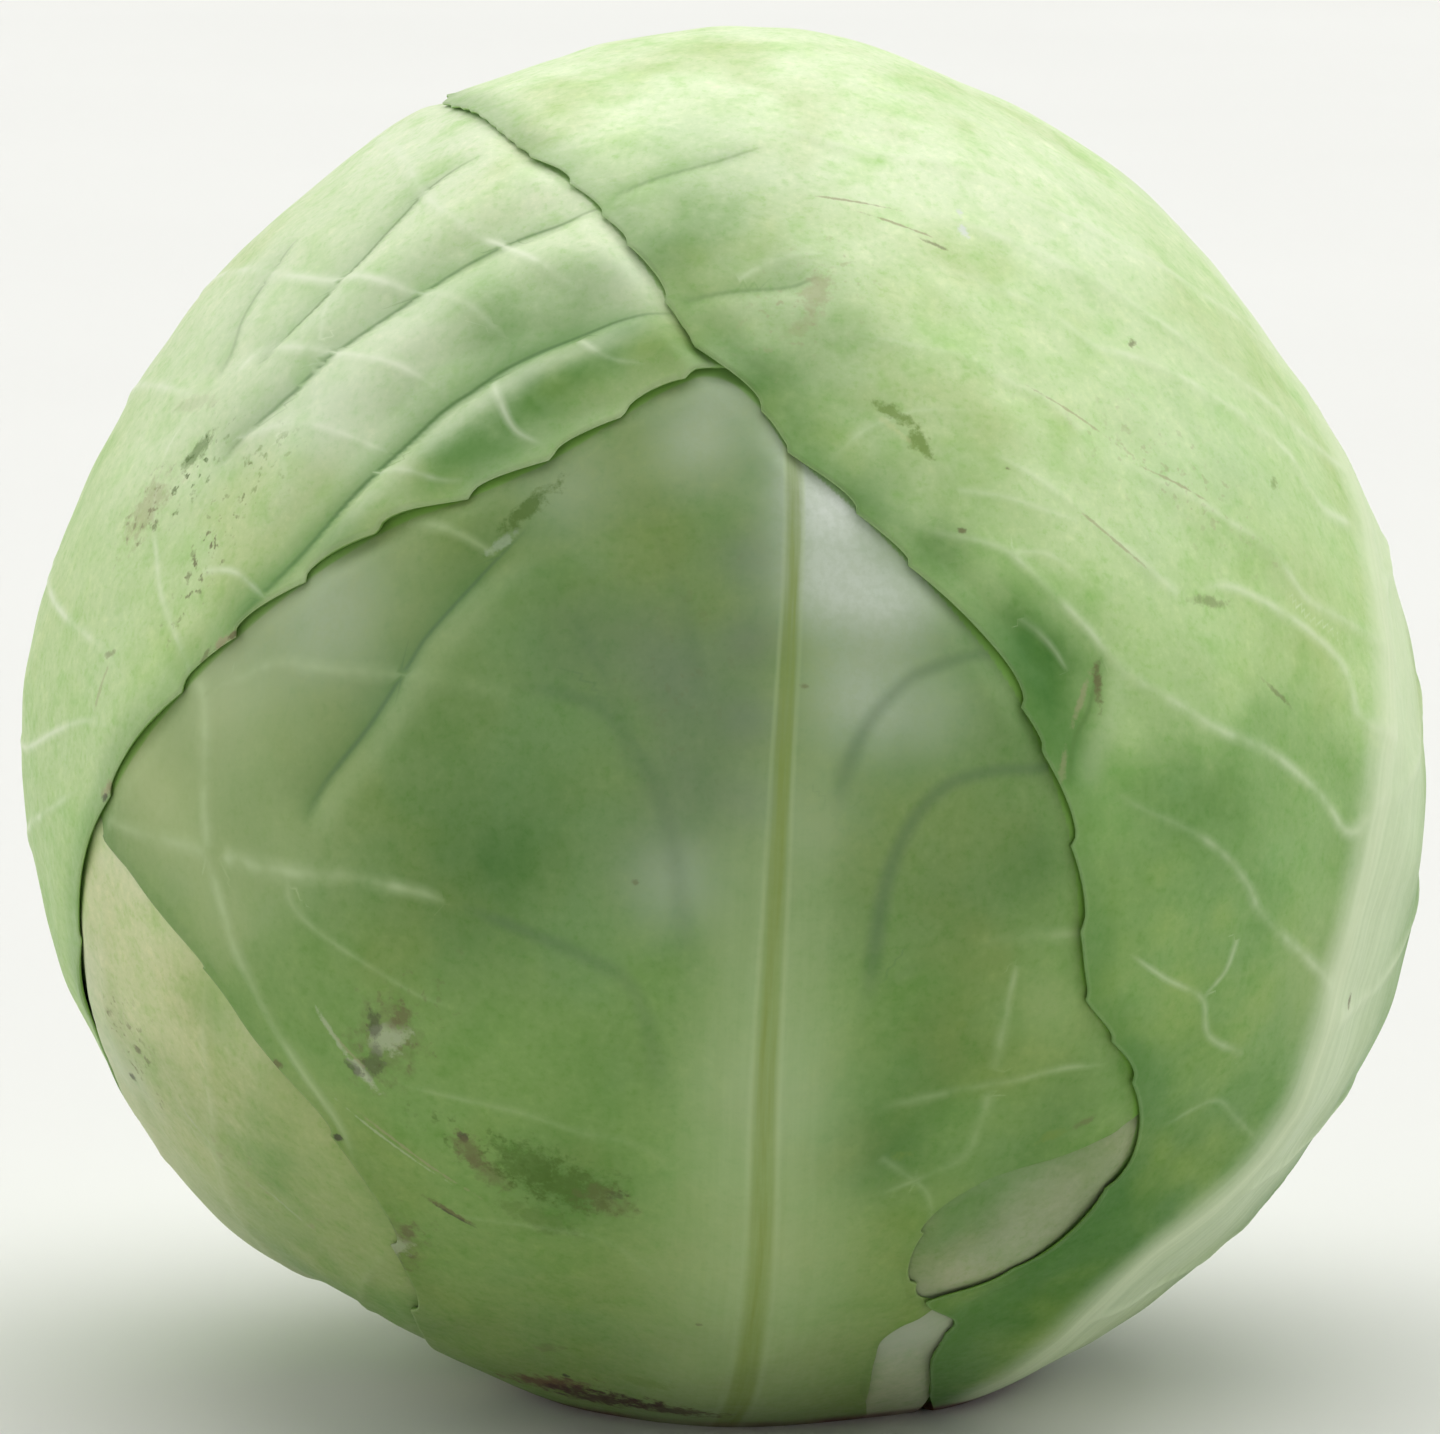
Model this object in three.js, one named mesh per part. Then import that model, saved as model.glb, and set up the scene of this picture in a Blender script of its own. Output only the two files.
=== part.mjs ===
// A head of white cabbage with its wrapper leaves on, trimmed flat below the head.
//
// The head is described like a globe: a longitude and a latitude, in degrees, name a direction
// from its centre. Longitude 0 faces -Y, 90 faces +X, and latitude -90 is the foot of the stem.
// Every leaf is a shell between two heights along those directions, and the leaves are laid from
// the outside in: each one lies under whatever already covers it, and comes up beside it.
import * as THREE from 'three';

// ---------------------------------------------------------------- driving dimensions, mm and degrees

const headRadius = 89.5;          // mean radius of the whole head
const centreHeight = 83;          // head's centre above the flat cut
const bladeThickness = 1.0;       // leaf blade away from its ribs
const rimThickness = 0.75;        // leaf blade at its margin
const leafGap = 0.75;             // air between two outer leaves that lie on each other
const innerGap = 1.15;            // air between the inner leaves and what covers them
const heartGap = 2.2;             // air between the leaves and the packed heart
const stemAngle = 10.8;           // half angle of the conical stem, seen from the head's centre
const rootAngle = 11.05;          // half angle at which leaf bases meet the stem
const stemTop = 52;               // height that the stem reaches inside the head
const socketClearance = 2;        // air above the stem's tip in the heart

const hollow = { at: [-76, -60], depth: 4.6, spread: 9 };     // dent beside the trimmed base
const crown = { at: [70, 82], height: 1.5, spread: 10 };     // low swelling on top

const drape = 7.5;                // how far out a leaf comes up beside the one that covers it
const drapeAtRoot = 1.6;
const tuck = 1.4;                 // strip beyond a margin that stays tucked down
const tuckAtRoot = 0.3;

// ---------------------------------------------------------------- small helpers

const toRadians = THREE.MathUtils.degToRad;
const toDegrees = THREE.MathUtils.radToDeg;
const smooth = THREE.MathUtils.smoothstep;
const bell = (x, width) => Math.exp(-((x / width) ** 2));

function direction([longitude, latitude]) {
  const lon = toRadians(longitude);
  const lat = toRadians(latitude);
  return new THREE.Vector3(
    Math.cos(lat) * Math.sin(lon),
    -Math.cos(lat) * Math.cos(lon),
    Math.sin(lat),
  );
}

const latitudeOf = (d) => toDegrees(Math.asin(THREE.MathUtils.clamp(d.z, -1, 1)));
const longitudeOf = (d) => toDegrees(Math.atan2(d.x, -d.y));
const angleBetween = (a, b) => toDegrees(2 * Math.asin(Math.min(1, a.distanceTo(b) / 2)));

// A smooth line over the globe through hand-set points, with equal steps along its length.
function globeLine(points) {
  const curve = new THREE.CatmullRomCurve3(points.map(direction), false, 'catmullrom', 0.5);
  return (share) => curve.getPointAt(share).normalize();
}

function sampleLine(line, steps) {
  return Array.from({ length: steps + 1 }, (_, i) => line(i / steps));
}

// ---------------------------------------------------------------- the head's outer form

const hollowCentre = direction(hollow.at);
const crownCentre = direction(crown.at);

// Distance from the centre to the outside of the head: a globe that is a little taller than it is
// wide, squarer over the shoulders, and fuller at the upper left and the lower right.
function fullRadius(d) {
  const { x, y, z } = d;
  const square = x * x - y * y;
  const form = 1 - 0.006 * z
    - 0.0234 * x * z
    - 0.0151 * (3 * z - 4 * z ** 3)
    - 0.0044 * x * (1 - 4 * z * z)
    + 0.0075 * (8 * z ** 4 - 8 * z * z + 1)
    + 0.006 * y * (1 - z) + 0.004 * square;
  return headRadius * form
    - hollow.depth * bell(angleBetween(d, hollowCentre), hollow.spread)
    + crown.height * bell(angleBetween(d, crownCentre), crown.spread);
}

// Distance from the centre to the flat cut below the head.
const cutRadius = (d) => (d.z < -0.2 ? centreHeight / -d.z : Infinity);
const outerRadius = (d) => Math.min(fullRadius(d), cutRadius(d));

// How near a direction is to the root of the leaves: 0 over most of the head, 1 at the cut.
const nearRoot = (d) => smooth(-latitudeOf(d), 52, 66);

// ---------------------------------------------------------------- the leaves, outermost first
//
// left, right: margins from the cut to the tip, as seen from outside with the tip up.
// midrib: from the cut to the tip. folds: long low pleats across the blade.
// scallop: depth and length in mm of the waves along the margin.

// Where a leaf's grid has columns between its margins at -1 and 1, closest over the midrib.
const manyColumns = [-1, -0.88, -0.7, -0.5, -0.32, -0.17, -0.06, 0.06, 0.17, 0.32, 0.5, 0.7, 0.88, 1];
const fewColumns = [-1, -0.86, -0.6, -0.36, -0.17, -0.06, 0.06, 0.17, 0.36, 0.6, 0.86, 1];

const leafData = [
  {
    name: 'right_leaf', colour: 0xb4d28e,
    rows: 44, columns: manyColumns, scallop: [0.9, 9.5], lift: 0.5,
    left: [[47, -69], [36, -60.5], [27.5, -52.5], [26, -46.5], [21.5, -42.5], [29, -40], [34, -35],
      [37, -28], [35, -20.5], [29, -13], [28, -7], [27, 0], [23.5, 10], [19.7, 16], [11, 26],
      [5.6, 31], [3, 35], [-4, 41], [-7, 45], [-13, 51], [-24, 57.5], [-34, 60.5], [-54, 65],
      [-82, 66]],
    right: [[100, -69], [106, -50], [112, -35], [119, -18], [127, 0], [137, 18], [150, 34],
      [168, 47], [-168, 57], [-142, 63]],
    tip: [-112, 65],
    midrib: [[55, -69], [45, -56], [47, -41], [57, -30], [59, -16], [64, 0], [72, 13], [82, 24],
      [88, 38], [98, 54], [130, 72], [-140, 78]],
    ribHeight: 1.6, ribWidth: 6.5, petiole: 5.5,
    folds: [],
  },
  {
    name: 'left_leaf', colour: 0xb2d090,
    rows: 42, columns: manyColumns, scallop: [1.0, 8.5], lift: 0.6,
    left: [[178, -69], [174, -50], [168, -34], [163, -18], [158, -2], [152, 14], [144, 30],
      [132, 46], [112, 58], [86, 63]],
    right: [[-74, -69], [-85, -57], [-87, -48], [-82, -37], [-75, -27], [-68, -16], [-62, -7],
      [-57, 0], [-43.5, 13.5], [-31, 23], [-23, 26.5], [-16, 30], [-10, 34], [-4, 37.5],
      [3, 39], [16, 41], [30, 46]],
    tip: [54, 57],
    midrib: [[-130, -69], [-131, -45], [-131, -20], [-131, 5], [-131, 30], [-132, 55],
      [-150, 78], [74, 74]],
    ribHeight: 2.2, ribWidth: 6.5, petiole: 5.5,
    folds: [
      { line: [[-45, 14], [-38, 21], [-29, 35], [-18, 42], [-3, 44.5]], height: 1.1, width: 3.2 },
      { line: [[-50, 24], [-45, 35], [-38, 45], [-25, 53], [-16, 56]], height: 0.9, width: 3.2 },
      { line: [[-58, 34], [-51, 46], [-46, 56], [-36, 62]], height: 0.7, width: 3.4 },
    ],
  },
  {
    name: 'front_leaf', colour: 0x93b375,
    rows: 42, columns: manyColumns, scallop: [0.9, 10.5], lift: 0.3,
    left: [[-62, -69], [-54, -60], [-45, -52], [-38, -43], [-35.5, -34], [-37, -26], [-42.5, -18],
      [-46.5, -12.5], [-54, -6.5], [-61, -1], [-65, 8], [-65, 20], [-59, 32], [-48, 43], [-30, 53]],
    right: [[31, -69], [23, -60], [19, -51], [20.5, -46], [24, -43.5], [20, -41], [18.5, -34],
      [23, -29], [36, -25], [46, -20], [55, -10], [60, 3], [60, 17], [55, 31], [45, 44], [29, 54]],
    tip: [6, 58],
    midrib: [[-1, -69], [2, -55], [3, -35], [3, -18], [4, 3], [6, 30]],
    ribHeight: 2.0, ribWidth: 7.5, petiole: 6,
    folds: [
      { line: [[-13, 25], [-21, 19], [-28, 10], [-35, 0]], height: 0.6, width: 3.6 },
    ],
  },
  {
    name: 'back_leaf', colour: 0x98b87a,
    rows: 30, columns: fewColumns, scallop: [0.9, 10.5], lift: 0.3,
    left: [[97, -69], [100, -52], [93, -38], [86, -22], [82, -4], [84, 14], [91, 30], [106, 43]],
    right: [[-179, -69], [179, -53], [-175, -37], [-168, -20], [-165, -2], [-167, 14],
      [-174, 30], [170, 42]],
    tip: [139, 48],
    midrib: [[141, -69], [141, -45], [141, -18], [140, 8], [139, 30]],
    ribHeight: 2.0, ribWidth: 7, petiole: 5.5,
    folds: [],
  },
  {
    name: 'inner_left_leaf', colour: 0xc9cfa6,
    rows: 27, columns: fewColumns, scallop: [0.8, 12], lift: 0.1,
    left: [[-98, -69], [-108, -52], [-120, -34], [-128, -14], [-126, 6], [-112, 24]],
    right: [[-48, -69], [-30, -54], [-20, -38], [-14, -20], [-16, -2], [-34, 20]],
    tip: [-76, 34],
    midrib: [[-76, -69], [-77, -45], [-77, -18], [-77, 8]],
    ribHeight: 1.2, ribWidth: 7, petiole: 4,
    folds: [],
  },
  {
    name: 'inner_right_leaf', colour: 0xd2d3b4,
    rows: 24, columns: manyColumns, scallop: [0.8, 12], lift: 0.1,
    left: [[20, -69], [6, -54], [-1, -38], [-4, -20], [0, 0], [16, 24]],
    right: [[82, -69], [92, -52], [102, -34], [108, -14], [106, 8], [94, 28]],
    tip: [54, 42],
    midrib: [[54, -69], [54, -45], [54, -18], [54, 10]],
    ribHeight: 1.0, ribWidth: 7, petiole: 4,
    folds: [],
  },
];


// ---------------------------------------------------------------- one leaf's plan on the globe

const outlineSteps = 44;
const ribSteps = 30;
const arcSteps = 6;

// A direction on the cone round the stem with this half angle.
const onCone = (longitude, angle) => direction([longitude, angle - 90]);

// The smaller way round from one longitude to another.
function turnBetween(from, to) {
  return ((to - from) % 360 + 540) % 360 - 180;
}

// Where a leaf's base ends, a little inside the stem, from its right corner to its left one.
function rootArc(turns) {
  const span = turnBetween(turns.right, turns.left);
  return Array.from({ length: arcSteps + 1 },
    (_, i) => onCone(turns.right + (span * i) / arcSteps, rootAngle - 2));
}

function planLeaf(data) {
  const left = globeLine([...data.left, data.tip]);
  const right = globeLine([...data.right, data.tip]);
  const midrib = globeLine([...data.midrib, data.tip]);
  const rootTurns = { left: longitudeOf(left(0)), right: longitudeOf(right(0)) };
  const outline = [
    ...sampleLine(left, outlineSteps),
    ...sampleLine(right, outlineSteps).reverse().slice(1),
    ...rootArc(rootTurns),
  ];
  const centre = outline.reduce((sum, d) => sum.add(d), new THREE.Vector3()).normalize();
  const across = new THREE.Vector3(0, 0, 1).cross(centre).normalize();
  const up = centre.clone().cross(across);
  const plan = { ...data, left, right, midrib, rootTurns, outline, centre, across, up };
  plan.ribPoints = sampleLine(midrib, ribSteps);
  plan.foldLines = data.folds.map((fold) => sampleLine(globeLine(fold.line), ribSteps));
  plan.flatOutline = outline.map((d) => flatten(plan, d));
  return plan;
}

// Map a direction to a flat chart round the leaf's centre, to test what is inside the outline.
function flatten(plan, d) {
  const angle = angleBetween(d, plan.centre);
  const x = d.dot(plan.across);
  const y = d.dot(plan.up);
  const length = Math.hypot(x, y) || 1;
  return new THREE.Vector2((angle * x) / length, (angle * y) / length);
}

function isInside(plan, d) {
  const p = flatten(plan, d);
  const loop = plan.flatOutline;
  let inside = false;
  for (let i = 0, j = loop.length - 1; i < loop.length; j = i, i += 1) {
    const crosses = (loop[i].y > p.y) !== (loop[j].y > p.y);
    const slope = (loop[j].x - loop[i].x) / (loop[j].y - loop[i].y);
    if (crosses && p.x < loop[i].x + (p.y - loop[i].y) * slope) inside = !inside;
  }
  return inside;
}

const nearest = new THREE.Vector3();
const segment = new THREE.Line3();

// Angle from a direction to a line over the globe, given as points.
function angleToLine(points, d, closed = false) {
  let best = Infinity;
  const count = closed ? points.length : points.length - 1;
  for (let i = 0; i < count; i += 1) {
    segment.set(points[i], points[(i + 1) % points.length]);
    segment.closestPointToPoint(d, true, nearest);
    best = Math.min(best, nearest.distanceToSquared(d));
  }
  return toDegrees(2 * Math.asin(Math.min(1, Math.sqrt(best) / 2)));
}

// 1 under a leaf and the strip round it, falling to 0 where its neighbour has come up beside it.
function coverage(plan, d) {
  if (isInside(plan, d)) return 1;
  const root = nearRoot(d);
  const start = THREE.MathUtils.lerp(tuck, tuckAtRoot, root);
  const length = THREE.MathUtils.lerp(drape, drapeAtRoot, root);
  return 1 - smooth(angleToLine(plan.outline, d, true), start, start + length);
}

// Room a leaf takes up: its blade, and the thick stalk that its midrib becomes at the foot.
function leafThickness(plan, d) {
  const foot = smooth(-latitudeOf(d), 34, 76);
  const aside = angleToLine(plan.ribPoints, d);
  return bladeThickness + plan.petiole * foot * bell(aside, 10);
}

// What stands proud on a leaf's outer face: its midrib, broad below and fine above, and folds.
function relief(plan, d) {
  const taper = 0.25 + 0.75 * smooth(-latitudeOf(d), -45, 60);
  const trimmed = 1 - 0.6 * nearRoot(d);
  const aside = angleToLine(plan.ribPoints, d);
  let height = plan.ribHeight * taper * trimmed * bell(aside, plan.ribWidth * taper);
  plan.folds.forEach((fold, i) => {
    height += fold.height * bell(angleToLine(plan.foldLines[i], d), fold.width);
  });
  return height;
}

const leaves = leafData.map(planLeaf);
const outerLeaves = 4;

// How far the leaves outside number k press a direction in, and how openly it can be seen.
function pressedBy(k, d, gap = k < outerLeaves ? leafGap : innerGap) {
  let depth = 0;
  let open = 1;
  for (const above of leaves.slice(0, k)) {
    const covered = coverage(above, d);
    if (covered === 0) continue;
    depth += covered * (leafThickness(above, d) + gap);
    open *= 1 - covered;
  }
  return { depth, open };
}

// ---------------------------------------------------------------- a leaf's solid

// A leaf's outer face before the flat cut: pressed in by what covers it, and full where it is open.
function faceRadius(k, d, { depth, open }) {
  const bed = outerRadius(d) - depth;
  return bed + open * (fullRadius(d) - outerRadius(d) + relief(leaves[k], d));
}

// Half angle of the ring where the outer face leaves the flat cut, along one longitude.
function cutEdgeAngle(k, longitude) {
  let inner = rootAngle + 1.5;
  let outer = 34;
  for (let i = 0; i < 24; i += 1) {
    const middle = (inner + outer) / 2;
    const d = onCone(longitude, middle);
    if (faceRadius(k, d, pressedBy(k, d)) > cutRadius(d)) inner = middle;
    else outer = middle;
  }
  return Math.min(inner, 25);
}

function heights(k, d, alongMargin, edge) {
  const plan = leaves[k];
  const pressed = pressedBy(k, d);
  const { depth, open } = pressed;
  const wave = 0.5 + 0.5 * Math.sin(alongMargin * 0.29 + k);
  const lifted = plan.lift * open * edge ** 6 * wave * (1 - nearRoot(d));
  const thickness = THREE.MathUtils.lerp(leafThickness(plan, d), rimThickness,
    edge ** 12 * (1 - nearRoot(d)));
  return {
    outer: Math.min(faceRadius(k, d, pressed) + lifted, cutRadius(d)),
    inner: outerRadius(d) - depth + lifted - thickness,
  };
}

// Shift a margin point sideways in waves: shallow bites between blunt teeth.
function scallop(plan, d, inward, alongMargin) {
  const [size, length] = plan.scallop;
  const turn = (alongMargin / length) * 2 * Math.PI;
  const wave = Math.abs(Math.sin(turn / 2)) + 0.35 * Math.sin(turn * 0.37 + 1);
  const shift = (size * (0.6 - wave)) / headRadius;
  return d.clone().addScaledVector(inward, -shift).normalize();
}

function between(a, b, share) {
  const angle = a.angleTo(b);
  if (angle < 1e-6) return a.clone();
  const blended = a.clone().multiplyScalar(Math.sin((1 - share) * angle));
  return blended.addScaledVector(b, Math.sin(share * angle)).normalize();
}

function buildLeaf(k) {
  const plan = leaves[k];
  const { columns } = plan;
  const outer = [];
  const inner = [];

  function addPoint(d, alongMargin = 0, edge = 0) {
    const { outer: top, inner: bottom } = heights(k, d, alongMargin, edge);
    outer.push(d.clone().multiplyScalar(top));
    inner.push(d.clone().multiplyScalar(bottom));
    return outer.length - 1;
  }

  const marginLength = (line) => sampleLine(line, 60)
    .reduce((sum, d, i, all) => sum + (i ? d.distanceTo(all[i - 1]) * headRadius : 0), 0);
  const lengths = { left: marginLength(plan.left), right: marginLength(plan.right) };

  function gridPoint(share, column) {
    const side = column < 0 ? 'left' : 'right';
    const margin = plan[side](share);
    const rib = plan.midrib(share);
    const edge = Math.abs(column);
    let d = between(rib, margin, edge);
    const along = share * lengths[side];
    if (edge === 1 && share < 1) {
      const inward = rib.clone().sub(margin).normalize();
      const fade = smooth(share, 0.03, 0.1) * (1 - smooth(share, 0.94, 1));
      d = between(margin, scallop(plan, margin, inward, along), fade);
    }
    return addPoint(d, along, edge);
  }

  // The first two rows ring the stem: where the base meets it, and where the flat cut ends.
  const ribTurn = longitudeOf(plan.midrib(0));
  const rootTurn = (column) => ribTurn
    + Math.abs(column) * turnBetween(ribTurn, plan.rootTurns[column < 0 ? 'left' : 'right']);
  const edgeAngles = columns.map((column) => cutEdgeAngle(k, rootTurn(column)));
  const rows = [
    columns.map((column) => addPoint(onCone(rootTurn(column), rootAngle))),
    columns.map((column, j) => addPoint(onCone(rootTurn(column), edgeAngles[j]))),
  ];
  const firstShare = 0.05;
  const shares = Array.from({ length: plan.rows },
    (_, i) => THREE.MathUtils.lerp(firstShare, 1, i / (plan.rows - 1)));
  for (const share of shares.slice(0, -1)) {
    rows.push(columns.map((column) => gridPoint(share, column)));
  }
  const tip = addPoint(plan.midrib(1), 0, 1);
  rows.push(columns.map(() => tip));

  // One more margin point halfway between rows, for finer waves along the edge.
  const last = columns.length - 1;
  const halfway = rows.map((row, i) => {
    if (i < 2 || i > rows.length - 3) return null;
    const share = (shares[i - 2] + shares[i - 1]) / 2;
    return { left: gridPoint(share, -1), right: gridPoint(share, 1) };
  });

  const face = [];
  for (let i = 0; i < rows.length - 1; i += 1) {
    for (let j = 0; j < last; j += 1) {
      const [a, b, c, d] = [rows[i][j], rows[i][j + 1], rows[i + 1][j + 1], rows[i + 1][j]];
      const extra = halfway[i];
      if (extra && j === 0) face.push([extra.left, a, b], [extra.left, b, c], [extra.left, c, d]);
      else if (extra && j === last - 1) face.push([a, b, extra.right], [a, extra.right, d], [d, extra.right, c]);
      else if (c === d) face.push([a, b, c]);
      else if (j < last / 2) face.push([a, b, c], [a, c, d]);
      else face.push([a, b, d], [b, c, d]);
    }
  }

  const rightEdge = rows.flatMap((row, i) => (halfway[i] ? [row[last], halfway[i].right] : [row[last]]));
  const leftEdge = rows.flatMap((row, i) => (halfway[i] ? [row[0], halfway[i].left] : [row[0]]));
  const loop = [...rows[0].slice(0, -1), ...rightEdge, ...leftEdge.reverse().slice(1, -1)];
  return closeShell(outer, inner, face, loop);
}

// Close a solid from two matching faces and the loop that both of them end at.
function closeShell(outer, inner, face, loop) {
  const count = outer.length;
  const triangles = face.flatMap(([a, b, c]) => [a, b, c, c + count, b + count, a + count]);
  loop.forEach((a, i) => {
    const b = loop[(i + 1) % loop.length];
    triangles.push(a, a + count, b + count, a, b + count, b);
  });
  return solid([...outer, ...inner], triangles);
}

function solid(points, triangles) {
  const geometry = new THREE.BufferGeometry();
  geometry.setAttribute('position', new THREE.Float32BufferAttribute(points.flatMap((p) => [...p]), 3));
  geometry.setIndex(triangles);
  geometry.computeVertexNormals();
  return geometry;
}

// ---------------------------------------------------------------- the heart and the stem

// The heart is the head's tightly packed inner leaves, with a cone-shaped socket for the stem.
const heartRings = 22;
const heartTurns = 32;

function heartRadius(d) {
  return outerRadius(d) - pressedBy(leaves.length, d).depth - heartGap;
}

function buildHeart() {
  const points = [];
  const triangles = [];
  const ring = (place) => Array.from({ length: heartTurns }, (_, i) => {
    points.push(place((360 * i) / heartTurns));
    return points.length - 1;
  });
  const socketDepth = (centreHeight - stemTop) / Math.cos(toRadians(rootAngle));
  const rings = [ring((turn) => onCone(turn, rootAngle).multiplyScalar(socketDepth))];
  for (let i = 0; i < heartRings; i += 1) {
    const angle = THREE.MathUtils.lerp(rootAngle, 180, i / heartRings);
    rings.push(ring((turn) => {
      const d = onCone(turn, angle);
      return d.multiplyScalar(heartRadius(d));
    }));
  }
  for (let i = 0; i < rings.length - 1; i += 1) {
    for (let j = 0; j < heartTurns; j += 1) {
      const next = (j + 1) % heartTurns;
      const [a, b, c, d] = [rings[i][j], rings[i][next], rings[i + 1][next], rings[i + 1][j]];
      triangles.push(a, b, c, a, c, d);
    }
  }
  const top = new THREE.Vector3(0, 0, 1);
  points.push(top.multiplyScalar(heartRadius(top)));
  points.push(new THREE.Vector3(0, 0, stemTop + socketClearance - centreHeight));
  const [crown, socketTip] = [points.length - 2, points.length - 1];
  for (let j = 0; j < heartTurns; j += 1) {
    const next = (j + 1) % heartTurns;
    triangles.push(rings.at(-1)[j], rings.at(-1)[next], crown);
    triangles.push(rings[0][next], rings[0][j], socketTip);
  }
  return solid(points, triangles);
}

function buildStem() {
  const footRadius = centreHeight * Math.tan(toRadians(stemAngle));
  const shoulder = stemTop - 4;
  const shoulderRadius = (centreHeight - shoulder) * Math.tan(toRadians(stemAngle));
  const profile = [
    new THREE.Vector2(0, -centreHeight),
    new THREE.Vector2(footRadius, -centreHeight),
    new THREE.Vector2(shoulderRadius, shoulder - centreHeight),
    new THREE.Vector2(shoulderRadius * 0.6, shoulder - centreHeight + 2),
    new THREE.Vector2(0, shoulder - centreHeight + 2.8),
  ];
  return new THREE.LatheGeometry(profile, 36).rotateX(Math.PI / 2);
}

// ---------------------------------------------------------------- assembly

function addPiece(group, name, geometry, colour, roughness) {
  const material = new THREE.MeshStandardMaterial({ color: colour, roughness, metalness: 0 });
  const mesh = new THREE.Mesh(geometry, material);
  mesh.name = name;
  mesh.position.z = centreHeight;
  group.add(mesh);
}

const cabbage = new THREE.Group();
cabbage.name = 'cabbage_head';
leaves.forEach((plan, k) => addPiece(cabbage, plan.name, buildLeaf(k), plan.colour, 0.5));
addPiece(cabbage, 'heart', buildHeart(), 0xe3e6c0, 0.55);
addPiece(cabbage, 'stem', buildStem(), 0xcfc69a, 0.8);

export default cabbage;
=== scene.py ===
import math

import bpy
import numpy as np
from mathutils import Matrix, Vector


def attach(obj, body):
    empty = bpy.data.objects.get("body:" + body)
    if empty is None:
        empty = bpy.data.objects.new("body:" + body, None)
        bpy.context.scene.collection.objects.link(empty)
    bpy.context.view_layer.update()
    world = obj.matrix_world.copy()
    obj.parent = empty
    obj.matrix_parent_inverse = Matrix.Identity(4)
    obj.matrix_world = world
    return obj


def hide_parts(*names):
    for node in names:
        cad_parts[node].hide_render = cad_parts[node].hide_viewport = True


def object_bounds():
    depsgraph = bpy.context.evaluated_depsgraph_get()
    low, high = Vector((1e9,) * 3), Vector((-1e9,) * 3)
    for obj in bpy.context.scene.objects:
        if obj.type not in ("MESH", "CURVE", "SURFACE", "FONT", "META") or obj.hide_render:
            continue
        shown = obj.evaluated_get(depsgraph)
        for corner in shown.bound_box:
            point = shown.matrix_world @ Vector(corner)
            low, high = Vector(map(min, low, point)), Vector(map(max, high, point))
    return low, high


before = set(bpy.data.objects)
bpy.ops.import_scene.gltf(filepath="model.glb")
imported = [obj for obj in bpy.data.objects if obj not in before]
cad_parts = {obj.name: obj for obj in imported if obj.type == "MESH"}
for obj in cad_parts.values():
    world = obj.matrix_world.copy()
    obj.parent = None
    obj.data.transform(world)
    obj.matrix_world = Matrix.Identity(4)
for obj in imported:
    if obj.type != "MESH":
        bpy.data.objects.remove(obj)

cad_low, cad_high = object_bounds()

# ---------------------------------------------------------------- sizes, in metres and degrees

MM = 0.001
HEAD_RADIUS = 0.0895
CENTRE_HEIGHT = 0.083
BLADE = 0.0010             # thickness of a leaf's blade
RIM = 0.0004               # thickness of a leaf at its margin
THINNING = 4.0             # how far in from its margin a leaf grows thicker, in degrees
LEAF_GAP = 0.0003          # air between two outer leaves
INNER_GAP = 0.0004         # air between the inner leaves and what covers them
HEART_GAP = 0.0022         # air between the heart and the innermost leaves
STEM_ANGLE = 10.8          # half angle of the conical stem, seen from the head's centre
ROOT_ANGLE = 11.05         # half angle at which the leaf bases meet the stem
STEM_TOP = 0.052
ROOT_ZONE = (52, 66)       # degrees below the level between which a leaf turns into its base
FAR = 9.0                  # stands for nowhere near, in any unit

HOLLOW = {"at": (-76, -60), "depth": 0.0046, "spread": 9}
CROWN = {"at": (70, 82), "height": 0.0015, "spread": 10}

DRAPE, DRAPE_AT_ROOT = 2.6, 1.2   # how far a leaf takes to come up beside the one that covers it
TUCK, TUCK_INNER = 0.5, 1.2       # how far inside the covering margin it starts to do so
MARGIN_REACH = 5.0                # how far from a margin angles to it are worked out

OUTER_LEAVES = 4
AT_ONCE = 12000            # directions measured from a line in one go, to save memory


# ---------------------------------------------------------------- helpers on arrays

def smooth(x, low, high):
    x = np.clip((x - low) / (high - low), 0, 1)
    return x * x * (3 - 2 * x)


def bell(x, width):
    return np.exp(-((x / width) ** 2))


def lerp(a, b, share):
    return a + (b - a) * share


def unit(v):
    return v / np.linalg.norm(v, axis=-1, keepdims=True)


def direction(lon_lat):
    lon, lat = np.radians(np.asarray(lon_lat, float)).T
    return np.stack([np.cos(lat) * np.sin(lon), -np.cos(lat) * np.cos(lon), np.sin(lat)], -1)


def latitude(d):
    return np.degrees(np.arcsin(np.clip(d[..., 2], -1, 1)))


def longitude(d):
    return np.degrees(np.arctan2(d[..., 0], -d[..., 1]))


def angle_between(d, centre):
    return np.degrees(2 * np.arcsin(np.clip(np.linalg.norm(d - centre, axis=-1) / 2, 0, 1)))


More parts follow.
